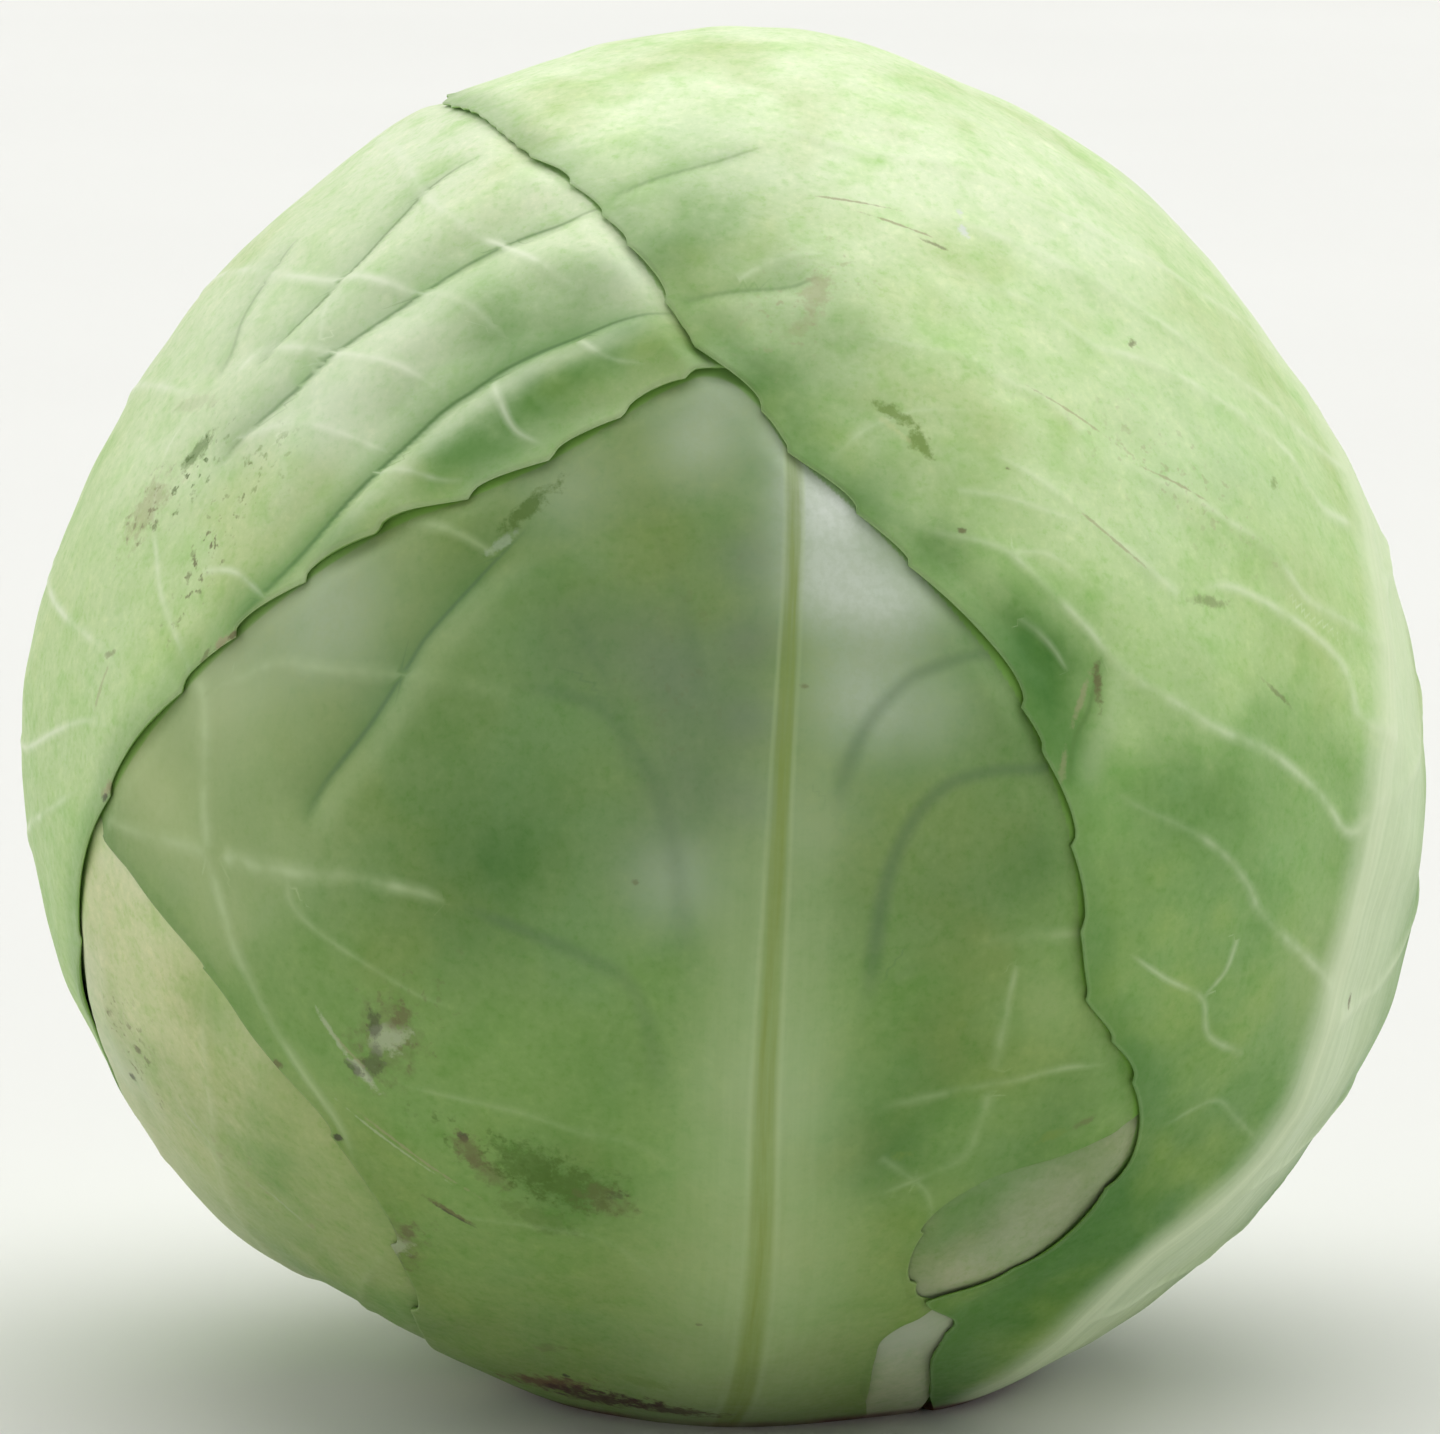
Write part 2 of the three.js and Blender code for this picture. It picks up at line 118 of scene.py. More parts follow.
def globe_line(points, steps=400):
    """A smooth line over the globe through given points, as equally spaced directions."""
    p = direction(points)
    p = np.vstack([2 * p[0] - p[1], p, 2 * p[-1] - p[-2]])
    t = np.linspace(0, 1, 24, endpoint=False)[:, None]
    parts = []
    for a, b, c, d in zip(p[:-3], p[1:-2], p[2:-1], p[3:]):
        parts.append(0.5 * (2 * b + (c - a) * t + (2 * a - 5 * b + 4 * c - d) * t ** 2
                            + (3 * b - a - 3 * c + d) * t ** 3))
    dense = np.vstack([*parts, p[-2:-1]])
    run = np.concatenate([[0], np.cumsum(np.linalg.norm(np.diff(dense, axis=0), axis=1))])
    even = np.linspace(0, run[-1], steps + 1)
    return unit(np.stack([np.interp(even, run, dense[:, i]) for i in range(3)], -1))


def along(line, share):
    """The direction at a share, 0 to 1, of a globe line's length."""
    place = np.clip(np.asarray(share, float), 0, 1) * (len(line) - 1)
    low = np.minimum(place.astype(int), len(line) - 2)
    rest = (place - low)[..., None]
    return unit(line[low] * (1 - rest) + line[low + 1] * rest)


def line_length(line):
    return float(np.linalg.norm(np.diff(line, axis=0), axis=1).sum() * HEAD_RADIUS)


def to_line(points, d, reach=180.0):
    """Angle from directions to a line, the share along it, and which side: 1 left, -1 right.

    Directions further than reach from the line keep that angle, which saves time.
    """
    angle = np.full(len(d), float(reach))
    share = np.zeros(len(d))
    side = np.ones(len(d))
    centre = unit(points.mean(0))
    spread = angle_between(points, centre).max()
    near = np.arange(len(d))
    if reach < 90:
        near = np.nonzero(angle_between(d, centre) < spread + reach)[0]
    a, b = points[:-1], points[1:]
    ab = b - a
    size = np.maximum((ab ** 2).sum(1), 1e-12)
    normal = np.cross(a, b)
    for start in range(0, len(near), AT_ONCE):
        pick = near[start:start + AT_ONCE]
        q = d[pick]
        run = q @ ab.T - (a * ab).sum(1)
        t = np.clip(run / size, 0, 1)
        gap = np.maximum((q ** 2).sum(1)[:, None] + (a ** 2).sum(1) - 2 * q @ a.T
                         - 2 * t * run + t * t * size, 0)
        best = gap.argmin(1)
        rows = np.arange(len(pick))
        found = np.degrees(2 * np.arcsin(np.clip(np.sqrt(gap[rows, best]) / 2, 0, 1)))
        angle[pick] = np.minimum(found, reach)
        share[pick] = (best + t[rows, best]) / len(a)
        side[pick] = np.sign((q * normal[best]).sum(1))
    return angle, share, side


def waves(d, length, seed, count=14):
    """Smooth random swells over the head, about this many metres apart, with spread 1."""
    rng = np.random.default_rng(seed)
    heading = unit(rng.normal(size=(count, 3)))
    pitch = length * rng.uniform(0.75, 1.35, count)
    phase = rng.uniform(0, 2 * math.pi, count)
    turn = (d @ heading.T) * HEAD_RADIUS * 2 * math.pi / pitch + phase
    return np.sin(turn).sum(1) / math.sqrt(count / 2)


# ---------------------------------------------------------------- the head's outer form

def full_radius(d):
    """The head's radius: a globe, a little fuller at its upper right, with a hollow and a crown."""
    x, y, z = d[..., 0], d[..., 1], d[..., 2]
    form = (1 - 0.006 * z - 0.0234 * x * z - 0.0151 * (3 * z - 4 * z ** 3)
            - 0.0044 * x * (1 - 4 * z * z) + 0.0075 * (8 * z ** 4 - 8 * z * z + 1)
            + 0.006 * y * (1 - z) + 0.004 * (x * x - y * y))
    dent = HOLLOW["depth"] * bell(angle_between(d, direction(HOLLOW["at"])), HOLLOW["spread"])
    swell = CROWN["height"] * bell(angle_between(d, direction(CROWN["at"])), CROWN["spread"])
    return HEAD_RADIUS * form - dent + swell


def cut_radius(d):
    """How far out the flat cut of the foot is, which stands on the floor."""
    z = d[..., 2]
    return np.where(z < -0.2, CENTRE_HEIGHT / np.maximum(-z, 1e-6), FAR)


def outer_radius(d):
    return np.minimum(full_radius(d), cut_radius(d))


def near_root(d):
    return smooth(-latitude(d), *ROOT_ZONE)


# ---------------------------------------------------------------- the leaves, outermost first
#
# left, right: margins from the cut to the tip, as seen from outside with the tip up. midrib: from
# the cut to the tip. teeth_left, teeth_right: where the margin's teeth stand, and tooth is how far
# apart they are elsewhere, in mm. bite_share: how deep the bites between them are, as a share of
# that. lift: how far the margin stands up, in mm. petiole: how much thicker the foot is, in mm.
# folds: low pleats, as (line, height in mm, width in degrees). creases: grooves, as (line, depth
# in mm, width in degrees), with painted shade on their upper slope and in their line. veins: (line,
# width in degrees, height in mm, light at its start, light at its end), where light is 1 for a white
# vein and below 0 for a dark one, whose darkness is painted shade in its groove. ribs_left,
# ribs_right: where side veins that follow the leaf's own rule leave the midrib, as shares of its
# length.

LEAVES = [
    dict(
        name="right_leaf", slot="outer_leaf", rows=350, columns=270,
        tooth=9.5, bite_share=0.11, lift=0.3,
        left=[(46, -69), (35, -60.5), (27.5, -52.5), (26, -46.5), (21.5, -42.5), (29, -40), (34, -35),
              (37, -28), (35, -20.5), (29, -13), (28, -7), (27, 0), (23.5, 10), (19.7, 16), (11, 26),
              (5.6, 31), (3, 35), (-4, 41), (-7, 45), (-13, 51), (-24, 57.5), (-34, 60.5), (-54, 65),
              (-82, 66)],
        teeth_left=[(21.5, -42.5), (30, -39), (36.4, -30.8), (35.5, -20.5), (32.7, -16.4),
                    (29.1, -13.2), (27.7, -7.5), (27.3, -1), (25.1, 6.4), (23.5, 9.9), (14.9, 21.1),
                    (11.3, 26), (5.6, 31.1), (3.3, 35.1), (-3.7, 40.9), (-6.7, 45.2), (-12.6, 50.8),
                    (-16.9, 54), (-23.6, 57.6), (-33.5, 60.4), (-38, 62), (-42, 63.2), (-46, 64),
                    (-50.1, 64.5), (-55, 65), (-60.6, 65.1), (-66, 65.5), (-73, 65.8), (-82, 66)],
        teeth_right=[],
        right=[(100, -69), (106, -50), (112, -35), (119, -18), (127, 0), (137, 18), (150, 34),
               (168, 47), (-168, 57), (-142, 63)],
        tip=(-112, 65),
        midrib=[(55, -69), (45, -56), (47, -41), (57, -30), (59, -16), (64, 0), (72, 13), (82, 24),
                (88, 38), (98, 54), (130, 72), (-140, 78)],
        rib_height=1.6, rib_width=6.5, petiole=5.5, folds=[],
        creases=[
            ([(-17.5, 55.8), (-13, 57.8), (-7.4, 59.6), (-1.2, 61.2), (8, 63.5)], 0.35, 0.9),
            ([(-6.2, 44.7), (-2, 45.7), (2.6, 46.2), (7.2, 46.6), (12, 48)], 0.4, 0.8),
            ([(27, 3), (28, 6.8), (29.6, 9), (30.7, 11.4), (31.9, 14.5)], 0.45, 0.5),
        ],
        veins=[
            ([(65, 0), (58.8, -3.3), (55.2, -0.3), (50, 3.1), (46.5, 5), (42, 6.6), (38.2, 8.9),
              (34.5, 11.1), (32.1, 13.3), (30.6, 15.4), (28.2, 17.9), (25.9, 20.4), (24.4, 22.1),
              (21.8, 23.1), (18.4, 23.9), (13, 25.5)], 0.65, 0.2, 0.7, 0.7),
            ([(58.5, -16), (56, -14.2), (50.8, -11.1), (46.6, -8.2), (44.6, -5.7), (41.2, -2.5),
              (36.8, -0.1), (33.3, 1.5), (30.7, 3.4)], 0.6, 0.2, 0.6, 0.5),
            ([(68, 3), (61.6, 5.3), (60.5, 9.4), (56.2, 13.2), (52, 15.8), (46.8, 17.8), (41.8, 17.6)],
             0.75, 0.25, 0.8, 0.9),
            ([(41.1, 17.4), (39.3, 18.8), (36.4, 21.5), (33.9, 23.7), (31.9, 25.6), (29, 27.9),
              (24, 31)], 0.55, 0.15, 0.7, 0.5),
            ([(70, 10), (63, 13), (57.6, 15.5), (55.7, 17.8), (52.9, 21), (49.6, 23), (46.6, 25),
              (42.5, 27.1), (38.6, 29.2), (35.9, 29.7)], 0.6, 0.2, 0.7, 0.7),
            ([(35.9, 31), (33.1, 35), (29.3, 36.8), (24.6, 39.4), (19.9, 40.4), (12, 42)],
             0.5, 0.15, 0.5, 0.4),
            ([(75, 20), (68, 22), (65.7, 24.2), (65, 27.4), (61.4, 30.1), (57.9, 32.5), (52.4, 36),
              (46.6, 38.7), (42.8, 39.6), (40.4, 42.2), (37.6, 44.3), (33.2, 46.1), (22, 50)],
             0.75, 0.25, 1.0, 0.8),
            ([(82, 24), (75, 27), (67, 32), (61, 36), (55, 41), (50, 45), (43, 49), (34, 53), (27, 55),
              (18, 57), (4, 58)], 0.7, 0.2, 0.9, 0.6),
            ([(87, 35), (78, 39), (68, 44), (61, 48), (51, 53), (44, 57), (36, 60), (20, 63), (-6, 69)],
             0.7, 0.25, 0.9, 0.6),
            ([(93, 47), (82, 56), (69, 60), (60, 64), (42, 69), (10, 75)], 0.6, 0.2, 0.8, 0.5),
            ([(24.4, 22.1), (28.2, 21.6), (31.4, 18.9)], 0.4, 0.1, 0.6, 0.4),
            ([(24.3, 16.9), (26.6, 14.8), (28.5, 12)], 0.4, 0.1, 0.5, 0.4),
            ([(48, -20), (42.8, -17.8), (41.1, -14.5), (36.7, -12.3), (32.2, -9.5)], 0.4, 0.1, 0.4, 0.5),
            ([(44.2, -9.7), (43.1, -12.5), (41.1, -14.5)], 0.35, 0.1, 0.5, 0.5),
            ([(1, 47), (5, 49), (9, 50), (13, 50)], 0.5, 0.1, 0.5, 0.6),
            ([(20.5, 27.5), (25, 26.6), (29.5, 25), (33.5, 23.8)], 0.4, 0.1, 0.4, 0.5),
            ([(9, 30), (13, 33), (19, 34.5), (26, 34)], 0.4, 0.1, 0.5, 0.2),
            ([(57, -30), (50, -26), (46, -24), (40, -26)], 0.45, 0.1, 0.3, 0.2),
        ],
        ribs_left=[], ribs_right=[0.12, 0.2, 0.28, 0.37, 0.46, 0.56, 0.66, 0.77],
    ),
    dict(
        name="left_leaf", slot="outer_leaf", rows=350, columns=270,
        tooth=8.5, bite_share=0.17, lift=0.35,
        left=[(178, -69), (174, -50), (168, -34), (163, -18), (158, -2), (152, 14), (144, 30),
              (132, 46), (112, 58), (86, 63)],
        right=[(-74, -69), (-85, -57), (-87, -48), (-82, -37), (-75, -27), (-68, -16), (-62, -7),
               (-57, 0), (-43.5, 13.5), (-31, 23), (-23, 26.5), (-16, 30), (-10, 34), (-4, 37.5),
               (3, 39), (16, 41), (30, 46)],
        teeth_left=[],
        teeth_right=[(-74, -25), (-66, -13), (-57, 0), (-48, 9), (-43.2, 13.8), (-37, 18.6),
                     (-30.8, 23.2), (-22.9, 26.5), (-15.8, 30), (-9.7, 34.1), (-3.7, 37.4), (3, 39)],
        tip=(54, 57),
        midrib=[(-130, -69), (-131, -45), (-131, -20), (-131, 5), (-131, 30), (-132, 55),
                (-150, 78), (74, 74)],
        rib_height=2.2, rib_width=6.5, petiole=5.5,
        folds=[
            ([(-34, 22), (-28, 29), (-21, 35), (-13, 39), (-3, 41)], 1.0, 2.8),
            ([(-44, 26), (-38, 36), (-31, 43), (-22, 48), (-13, 50)], 0.9, 3.0),
            ([(-52, 31), (-46, 43), (-39, 51), (-30, 57)], 0.8, 3.2),
        ],
        creases=[
            ([(-46, 12), (-41.9, 16.8), (-38.4, 21.1), (-34.9, 26), (-31.2, 30.5), (-28.3, 34),
              (-25.8, 35.9), (-23.2, 37.9), (-19.6, 39.9), (-15.7, 41.5), (-11.6, 43), (-8.2, 43.7),
              (-2, 44.6)], 0.85, 1.1),
            ([(-54, 26), (-51.2, 29.1), (-48.5, 32.3), (-46.2, 35), (-44.2, 38), (-41, 41.1),
              (-37.7, 44), (-34.2, 47.1), (-30.4, 49.6), (-27.2, 51.2), (-22.5, 53), (-18.9, 54.8),
              (-12, 57)], 0.6, 1.1),
            ([(-55, 35), (-52.7, 39.8), (-51, 43.9), (-49.6, 47.5), (-49, 50.7), (-48.6, 52.8),
              (-47.9, 56.1), (-46.1, 58.3), (-41, 61)], 0.5, 1.2),
            ([(-61, 34), (-61.6, 37.1), (-64.5, 40.4), (-66.1, 44), (-67, 47.2), (-67.1, 50)], 0.3, 1.0),
        ],
        veins=[
            ([(-130, 22), (-110, 34), (-96, 40), (-82.2, 43.2), (-58.2, 45.1), (-46.7, 45.4),
              (-38.2, 44.8), (-30.9, 44.1), (-24.6, 41.4), (-20.6, 39.7)], 0.75, 0.2, 0.9, 0.9),
            ([(-90, 60), (-70, 60), (-55.8, 57.6), (-45.3, 54.4), (-34.7, 51.4), (-29.6, 50.5),
              (-22.7, 48.1), (-16.9, 45.7), (-14.2, 44.3)], 0.6, 0.2, 0.7, 0.9),
            ([(-56.9, 34.8), (-56.3, 37.4), (-49.1, 38.1), (-40.1, 38), (-33.2, 37.2), (-28.4, 35.4)],
             0.6, 0.2, 0.8, 0.8),
            ([(-52, 29), (-48.3, 30.5), (-43.7, 31.5), (-37.1, 31), (-32, 29.8)], 0.5, 0.15, 0.6, 0.6),
            ([(-130, 8), (-108, 22), (-88.9, 30.2), (-69.6, 32.7), (-61.5, 32.7), (-58, 35.1)],
             0.8, 0.25, 0.9, 0.9),
            ([(-130, -8), (-110, 6), (-90, 15), (-74, 13), (-61, 11), (-54, 8)], 0.7, 0.2, 0.9, 0.8),
            ([(-130, -24), (-110, -8), (-90, 0), (-77, 1), (-63, 5), (-54, 5)], 0.6, 0.2, 0.9, 0.7),
            ([(-130, -36), (-108, -18), (-88, -8), (-73, -4), (-62, 0), (-59, 1)], 0.6, 0.2, 0.9, 0.7),
            ([(-50, 18.5), (-45.7, 18.9), (-41.2, 17.2), (-39.7, 17)], 0.4, 0.15, 0.6, 0.6),
            ([(-34, 28), (-30.4, 28.4), (-26.1, 27.8), (-23.3, 28.1)], 0.4, 0.12, 0.5, 0.5),
            ([(-24, 37), (-22.3, 35), (-20, 32.4), (-16.8, 31.2)], 0.45, 0.12, 0.6, 0.6),
            ([(-16, 41), (-12, 39), (-8, 38.5)], 0.4, 0.1, 0.5, 0.5),
            ([(-46, 9), (-56, 18), (-62, 27), (-60, 34)], 0.45, 0.1, 0.4, 0.6),
            ([(-42, 26), (-45, 31), (-46, 38), (-52, 46)], 0.4, 0.1, 0.3, 0.4),
            ([(-131, 40), (-112, 52), (-100, 58), (-90, 60)], 0.6, 0.2, 0.9, 0.7),
        ],
        ribs_left=[0.1, 0.18, 0.26, 0.35, 0.44, 0.54, 0.64], ribs_right=[],
    ),
    dict(
        name="front_leaf", slot="front_leaf", rows=330, columns=270,
        tooth=10.5, bite_share=0.1, lift=0.25,
        left=[(-62, -69), (-54, -60), (-45, -52), (-38, -43), (-35.5, -34), (-37, -26),
              (-42.5, -18), (-46.5, -12.5), (-54, -6.5), (-61, -1), (-65, 8), (-65, 20), (-59, 32),
              (-48, 43), (-30, 53)],
        right=[(31, -69), (23, -60), (19, -51), (20.5, -46), (24, -43.5), (20, -41), (18.5, -34),
               (23, -29), (36, -25), (46, -20), (55, -10), (60, 3), (60, 17), (55, 31), (45, 44),
               (29, 54)],
        teeth_left=[(-36, -38), (-37, -26), (-46.5, -12.5), (-58, -3)],
        teeth_right=[(19, -51), (24, -43.5), (20, -40), (18.5, -34), (23, -29), (29, -27)],
        tip=(6, 58),
        midrib=[(-1, -69), (2, -55), (3, -35), (3, -18), (4, 3), (6, 30)],
        rib_height=2.0, rib_width=7.5, petiole=6,
        folds=[([(-12, 20), (-17, 17), (-21, 12), (-25, 7), (-29, 1)], 0.6, 3.2)],
        creases=[([(-35, -1), (-33, 3), (-29, 8), (-26.1, 12.8), (-25.1, 14.8), (-22.9, 17.7),
                   (-20, 21.4), (-17.8, 23.9), (-15.9, 25.7)], 0.6, 0.8)],
        veins=[
            ([(-5, -22), (-7, -12), (-11, -9), (-16, -7), (-22, -5)], 1.3, -0.6, -0.15, -0.75),
            ([(-43.2, -3.3), (-36.5, -3.8), (-30.8, -3.6), (-25.5, -4.2), (-21, -5.4)],
             0.9, 0.15, 0.9, 0.9),
            ([(-43.6, -3.3), (-47, -2.9), (-51, -2.7), (-57, -2.1), (-62, -1.6)], 0.8, 0.15, 0.6, 0.5),
            ([(-3, -12), (-3.5, -5), (-5, 3), (-9, 9.5), (-12, 11), (-18, 12)], 1.5, -0.6, -0.25, -0.6),
            ([(-16, 11), (-26, 12), (-33, 12), (-39, 12), (-46, 9)], 0.8, 0.15, 0.1, 0.9),
            ([(-6.5, 4), (-9, 11), (-11, 15), (-14, 19)], 1.3, -0.4, -0.5, -0.1),
            ([(-2, 10), (-3, 16), (-5, 22), (-8, 28)], 1.3, -0.3, -0.4, 0.0),
            ([(-36, -4), (-35, -7), (-26, -12), (-20, -14)], 0.4, 0.08, 0.5, 0.1),
            ([(-29, 24), (-27.1, 24.2), (-24.1, 23.7), (-21.1, 22.6), (-18.8, 21.6)],
             0.55, 0.1, 0.6, 0.4),
            ([(-4, -28), (-7, -25), (-12, -24), (-19, -22), (-30, -20)], 0.5, 0.1, 0.1, 0.4),
            ([(-7, -39), (-12, -35), (-19, -34), (-28, -33)], 0.5, 0.1, 0.1, 0.4),
            ([(-50, 10), (-46, 9), (-45, 2), (-44, -4), (-43, -8), (-40, -15), (-36, -23), (-35, -27),
              (-36, -32)], 0.8, 0.25, 0.7, 0.6),
            ([(10.5, -15), (11, -12), (12, -4), (14, 1), (17, 4), (21, 5), (25, 5), (32, 6)],
             1.2, -0.6, -0.9, -0.6),
            ([(8, 1), (9, 5), (11, 9), (14, 12), (16, 13), (20, 14), (26, 14)], 1.2, -0.6, -0.7, -0.5),
            ([(11, -14), (13, -11), (17, -9), (22, -8), (28, -8), (36, -8)], 0.9, -0.25, -0.4, 0.8),
            ([(12, -22), (16, -21), (22, -20), (28, -19), (33, -19)], 0.5, 0.1, 0.2, 0.7),
            ([(22, -19), (22.2, -16), (22.6, -12), (23, -9)], 0.55, 0.1, 0.6, 0.5),
            ([(22, -20.5), (21.4, -24), (20, -27), (13, -30)], 0.55, 0.1, 0.6, 0.3),
            ([(13, -26), (18, -30), (19, -34)], 0.45, 0.08, 0.3, 0.3),
        ],
        ribs_left=[], ribs_right=[],
    ),
    dict(
        name="back_leaf", slot="front_leaf", rows=220, columns=200,
        tooth=10.5, bite_share=0.1, lift=0.25,
        left=[(97, -69), (100, -52), (93, -38), (86, -22), (82, -4), (84, 14), (91, 30), (106, 43)],
        right=[(-179, -69), (179, -53), (-175, -37), (-168, -20), (-165, -2), (-167, 14),
               (-174, 30), (170, 42)],
        tip=(139, 48),
        midrib=[(141, -69), (141, -45), (141, -18), (140, 8), (139, 30)],
        rib_height=2.0, rib_width=7, petiole=5.5, folds=[], creases=[], veins=[],
        ribs_left=[0.1, 0.2, 0.32, 0.46, 0.6], ribs_right=[0.13, 0.24, 0.36, 0.5, 0.64],
    ),
    dict(
        name="inner_left_leaf", slot="inner_leaf", rows=150, columns=150,
        tooth=12, bite_share=0.08, lift=0.1,
        left=[(-98, -69), (-108, -52), (-120, -34), (-128, -14), (-126, 6), (-112, 24)],
        right=[(-48, -69), (-30, -54), (-20, -38), (-14, -20), (-16, -2), (-34, 20)],
        tip=(-76, 34),
        midrib=[(-76, -69), (-77, -45), (-77, -18), (-77, 8)],
        rib_height=1.2, rib_width=7, petiole=4, folds=[], creases=[],
        veins=[
            ([(-76, -52), (-66, -42), (-58, -34), (-50, -22), (-46, -12)], 0.8, 0.3, 0.3, 0.5),
            ([(-77, -36), (-68, -26), (-62, -14), (-58, -4)], 0.8, 0.3, 0.3, 0.5),
            ([(-76, -60), (-60, -54), (-48, -46), (-36, -38)], 0.7, 0.3, 0.3, 0.3),
        ],
        ribs_left=[], ribs_right=[],
    ),
    dict(
        name="inner_right_leaf", slot="inner_leaf", rows=140, columns=170,
        tooth=12, bite_share=0.08, lift=0.1,
        left=[(20, -69), (6, -54), (-1, -38), (-4, -20), (0, 0), (16, 24)],
        right=[(82, -69), (92, -52), (102, -34), (108, -14), (106, 8), (94, 28)],
        tip=(54, 42),
        midrib=[(54, -69), (54, -45), (54, -18), (54, 10)],
        rib_height=1.0, rib_width=7, petiole=4, folds=[], creases=[],
        veins=[],
        ribs_left=[], ribs_right=[],
    ),
]


THIN = slice(None, None, 8)  # every eighth point of a line is enough to measure angles from it
VEIN_RISE, VEIN_BEND = 0.16, 1.5    # how far a side vein climbs on its way out, and how it bends
FORK_AT, FORK_RISE = 0.45, 0.22     # where every second side vein forks, and how steeply


class Leaf:
    """One leaf's plan on the globe: its margins, midrib, outline and what marks its face."""

    def __init__(self, data):
        self.__dict__.update(data)
        self.left_line = globe_line([*data["left"], data["tip"]])
        self.right_line = globe_line([*data["right"], data["tip"]])
        self.rib_line = globe_line([*data["midrib"], data["tip"]])
        turns = longitude(self.right_line[0]), longitude(self.left_line[0])
        self.turn_right, self.turn_left = turns
        span = turn_between(self.turn_right, self.turn_left)
        root = [(self.turn_right + span * i / 6, ROOT_ANGLE - 2 - 90) for i in range(7)]
        loop = np.vstack([self.left_line[THIN], self.right_line[THIN][::-1][1:], direction(root)])
        self.outline = np.vstack([loop, loop[:1]])
        self.centre = unit(loop.mean(0))
        self.across = unit(np.cross([0.0, 0.0, 1.0], self.centre))
        self.up = np.cross(self.centre, self.across)
        self.flat_outline = self.flatten(loop)
        self.teeth = {"left": self.tooth_runs(self.left_line, getattr(self, "teeth_left", [])),
                      "right": self.tooth_runs(self.right_line, getattr(self, "teeth_right", []))}
        self.fold_lines = [(globe_line(line, 60), height, width) for line, height, width in self.folds]
        self.crease_lines = [(globe_line(line, 60), depth, width) for line, depth, width in self.creases]
        self.vein_lines = [(globe_line(line, 60), *rest) for line, *rest in self.veins]
        self.vein_lines += [(line, CREASE_LINE, 0, -1.4 * depth, -1.4 * depth)
                            for line, depth, _ in self.crease_lines]
        self.vein_lines += self.side_veins(self.ribs_left, self.left_line)
        self.vein_lines += self.side_veins(self.ribs_right, self.right_line)

    def side_veins(self, starts, margin):
        """Veins that leave the midrib forwards and bend on towards the tip near the margin."""
        made = []
        for i, start in enumerate(starts):
            out = np.linspace(0.0, 0.94, 30)
            sway = 0.012 * np.sin(out * 9 + i * 2.1)
            share = np.minimum(start + VEIN_RISE * out ** VEIN_BEND + sway * out, 0.99)
            points = slerp(along(self.rib_line, share), along(margin, share), out)
            made.append((points, 0.8, 0.35, 0.7, 0.6))
            if i % 2 == 0:
                fork = np.linspace(FORK_AT, 0.9, 16)
                rise = (fork - FORK_AT) * FORK_RISE
                share = np.minimum(start + VEIN_RISE * FORK_AT ** VEIN_BEND + rise, 0.99)
                points = slerp(along(self.rib_line, share), along(margin, share), fork)
                made.append((points, 0.5, 0.2, 0.6, 0.4))
        return made

    def tooth_runs(self, line, given):
        """Metres along a margin at which its teeth stand: those given, and a rule elsewhere."""
        length, pitch = line_length(line), self.tooth * MM
        runs = list(to_line(line, direction(given))[1] * length) if given else []
        low, high = (min(runs), max(runs)) if runs else (length, length)
        run, i = 0.0, 0
        while run < length + pitch:
            if not low - 0.5 * pitch < run < high + 0.5 * pitch:
                runs.append(run)
            run += pitch * (1 + 0.35 * math.sin(2.3 * i + self.tooth))
            i += 1
        return np.array(sorted(runs))

    def bite(self, side, run):
        """How far in from its margin line the leaf ends, in metres: bites between the teeth."""
        teeth = self.teeth[side]
        i = np.clip(np.searchsorted(teeth, run, side="right") - 1, 0, len(teeth) - 2)
        gap = teeth[i + 1] - teeth[i]
        share = np.clip((run - teeth[i]) / gap, 0, 1)
        depth = np.minimum(self.bite_share * gap, DEEPEST_BITE)
        return depth * np.sin(math.pi * share ** 0.5) ** 0.8

    def flatten(self, d):
        """Directions as flat coordinates about the leaf's centre, in degrees."""
        angle = angle_between(d, self.centre)
        x, y = d @ self.across, d @ self.up
        size = np.maximum(np.hypot(x, y), 1e-9)
        return np.stack([angle * x / size, angle * y / size], -1)

    def contains(self, d):
        """Whether directions are inside the leaf's outline."""
        p = self.flatten(d)
        loop = self.flat_outline
        inside = np.zeros(len(d), bool)
        for (x0, y0), (x1, y1) in zip(loop, np.roll(loop, 1, axis=0)):
            if y0 == y1:
                continue
            crosses = (y0 > p[:, 1]) != (y1 > p[:, 1])
            inside ^= crosses & (p[:, 0] < x0 + (p[:, 1] - y0) * (x1 - x0) / (y1 - y0))
        return inside

    def reach(self, d):
        """Whether directions are inside the outline, and their angle from it."""
        return self.contains(d), to_line(self.outline, d, MARGIN_REACH)[0]

    def coverage(self, d, inside, away, tuck):
        """1 under the leaf, falling to 0 outside its margin, where a neighbour has come up."""
        length = lerp(DRAPE, DRAPE_AT_ROOT, near_root(d))
        outside = np.where(inside, -away, away)
        return 1 - smooth(outside, -tuck, length - tuck)

    def thickness(self, d, inside, away):
        """Thick at its petiole, a plain blade above it, and thin at its margin."""
        foot = smooth(-latitude(d), 34, 76)
        full = BLADE + self.petiole * MM * foot * bell(to_line(self.rib_line[THIN], d)[0], 10)
        thin = np.where(inside, 1 - smooth(away, 0, THINNING), 1.0)
        return lerp(full, RIM, thin)

    def relief(self, d):
        """Height of the midrib and the folds, as on the solid."""
        taper = 0.25 + 0.75 * smooth(-latitude(d), -45, 60)
        trimmed = 1 - 0.6 * near_root(d)
        aside = to_line(self.rib_line[THIN], d)[0]
        height = self.rib_height * MM * taper * trimmed * bell(aside, self.rib_width * taper)
        for line, top, width in self.fold_lines:
            height += top * MM * bell(to_line(line, d, PLEAT_REACH)[0], width)
        return height


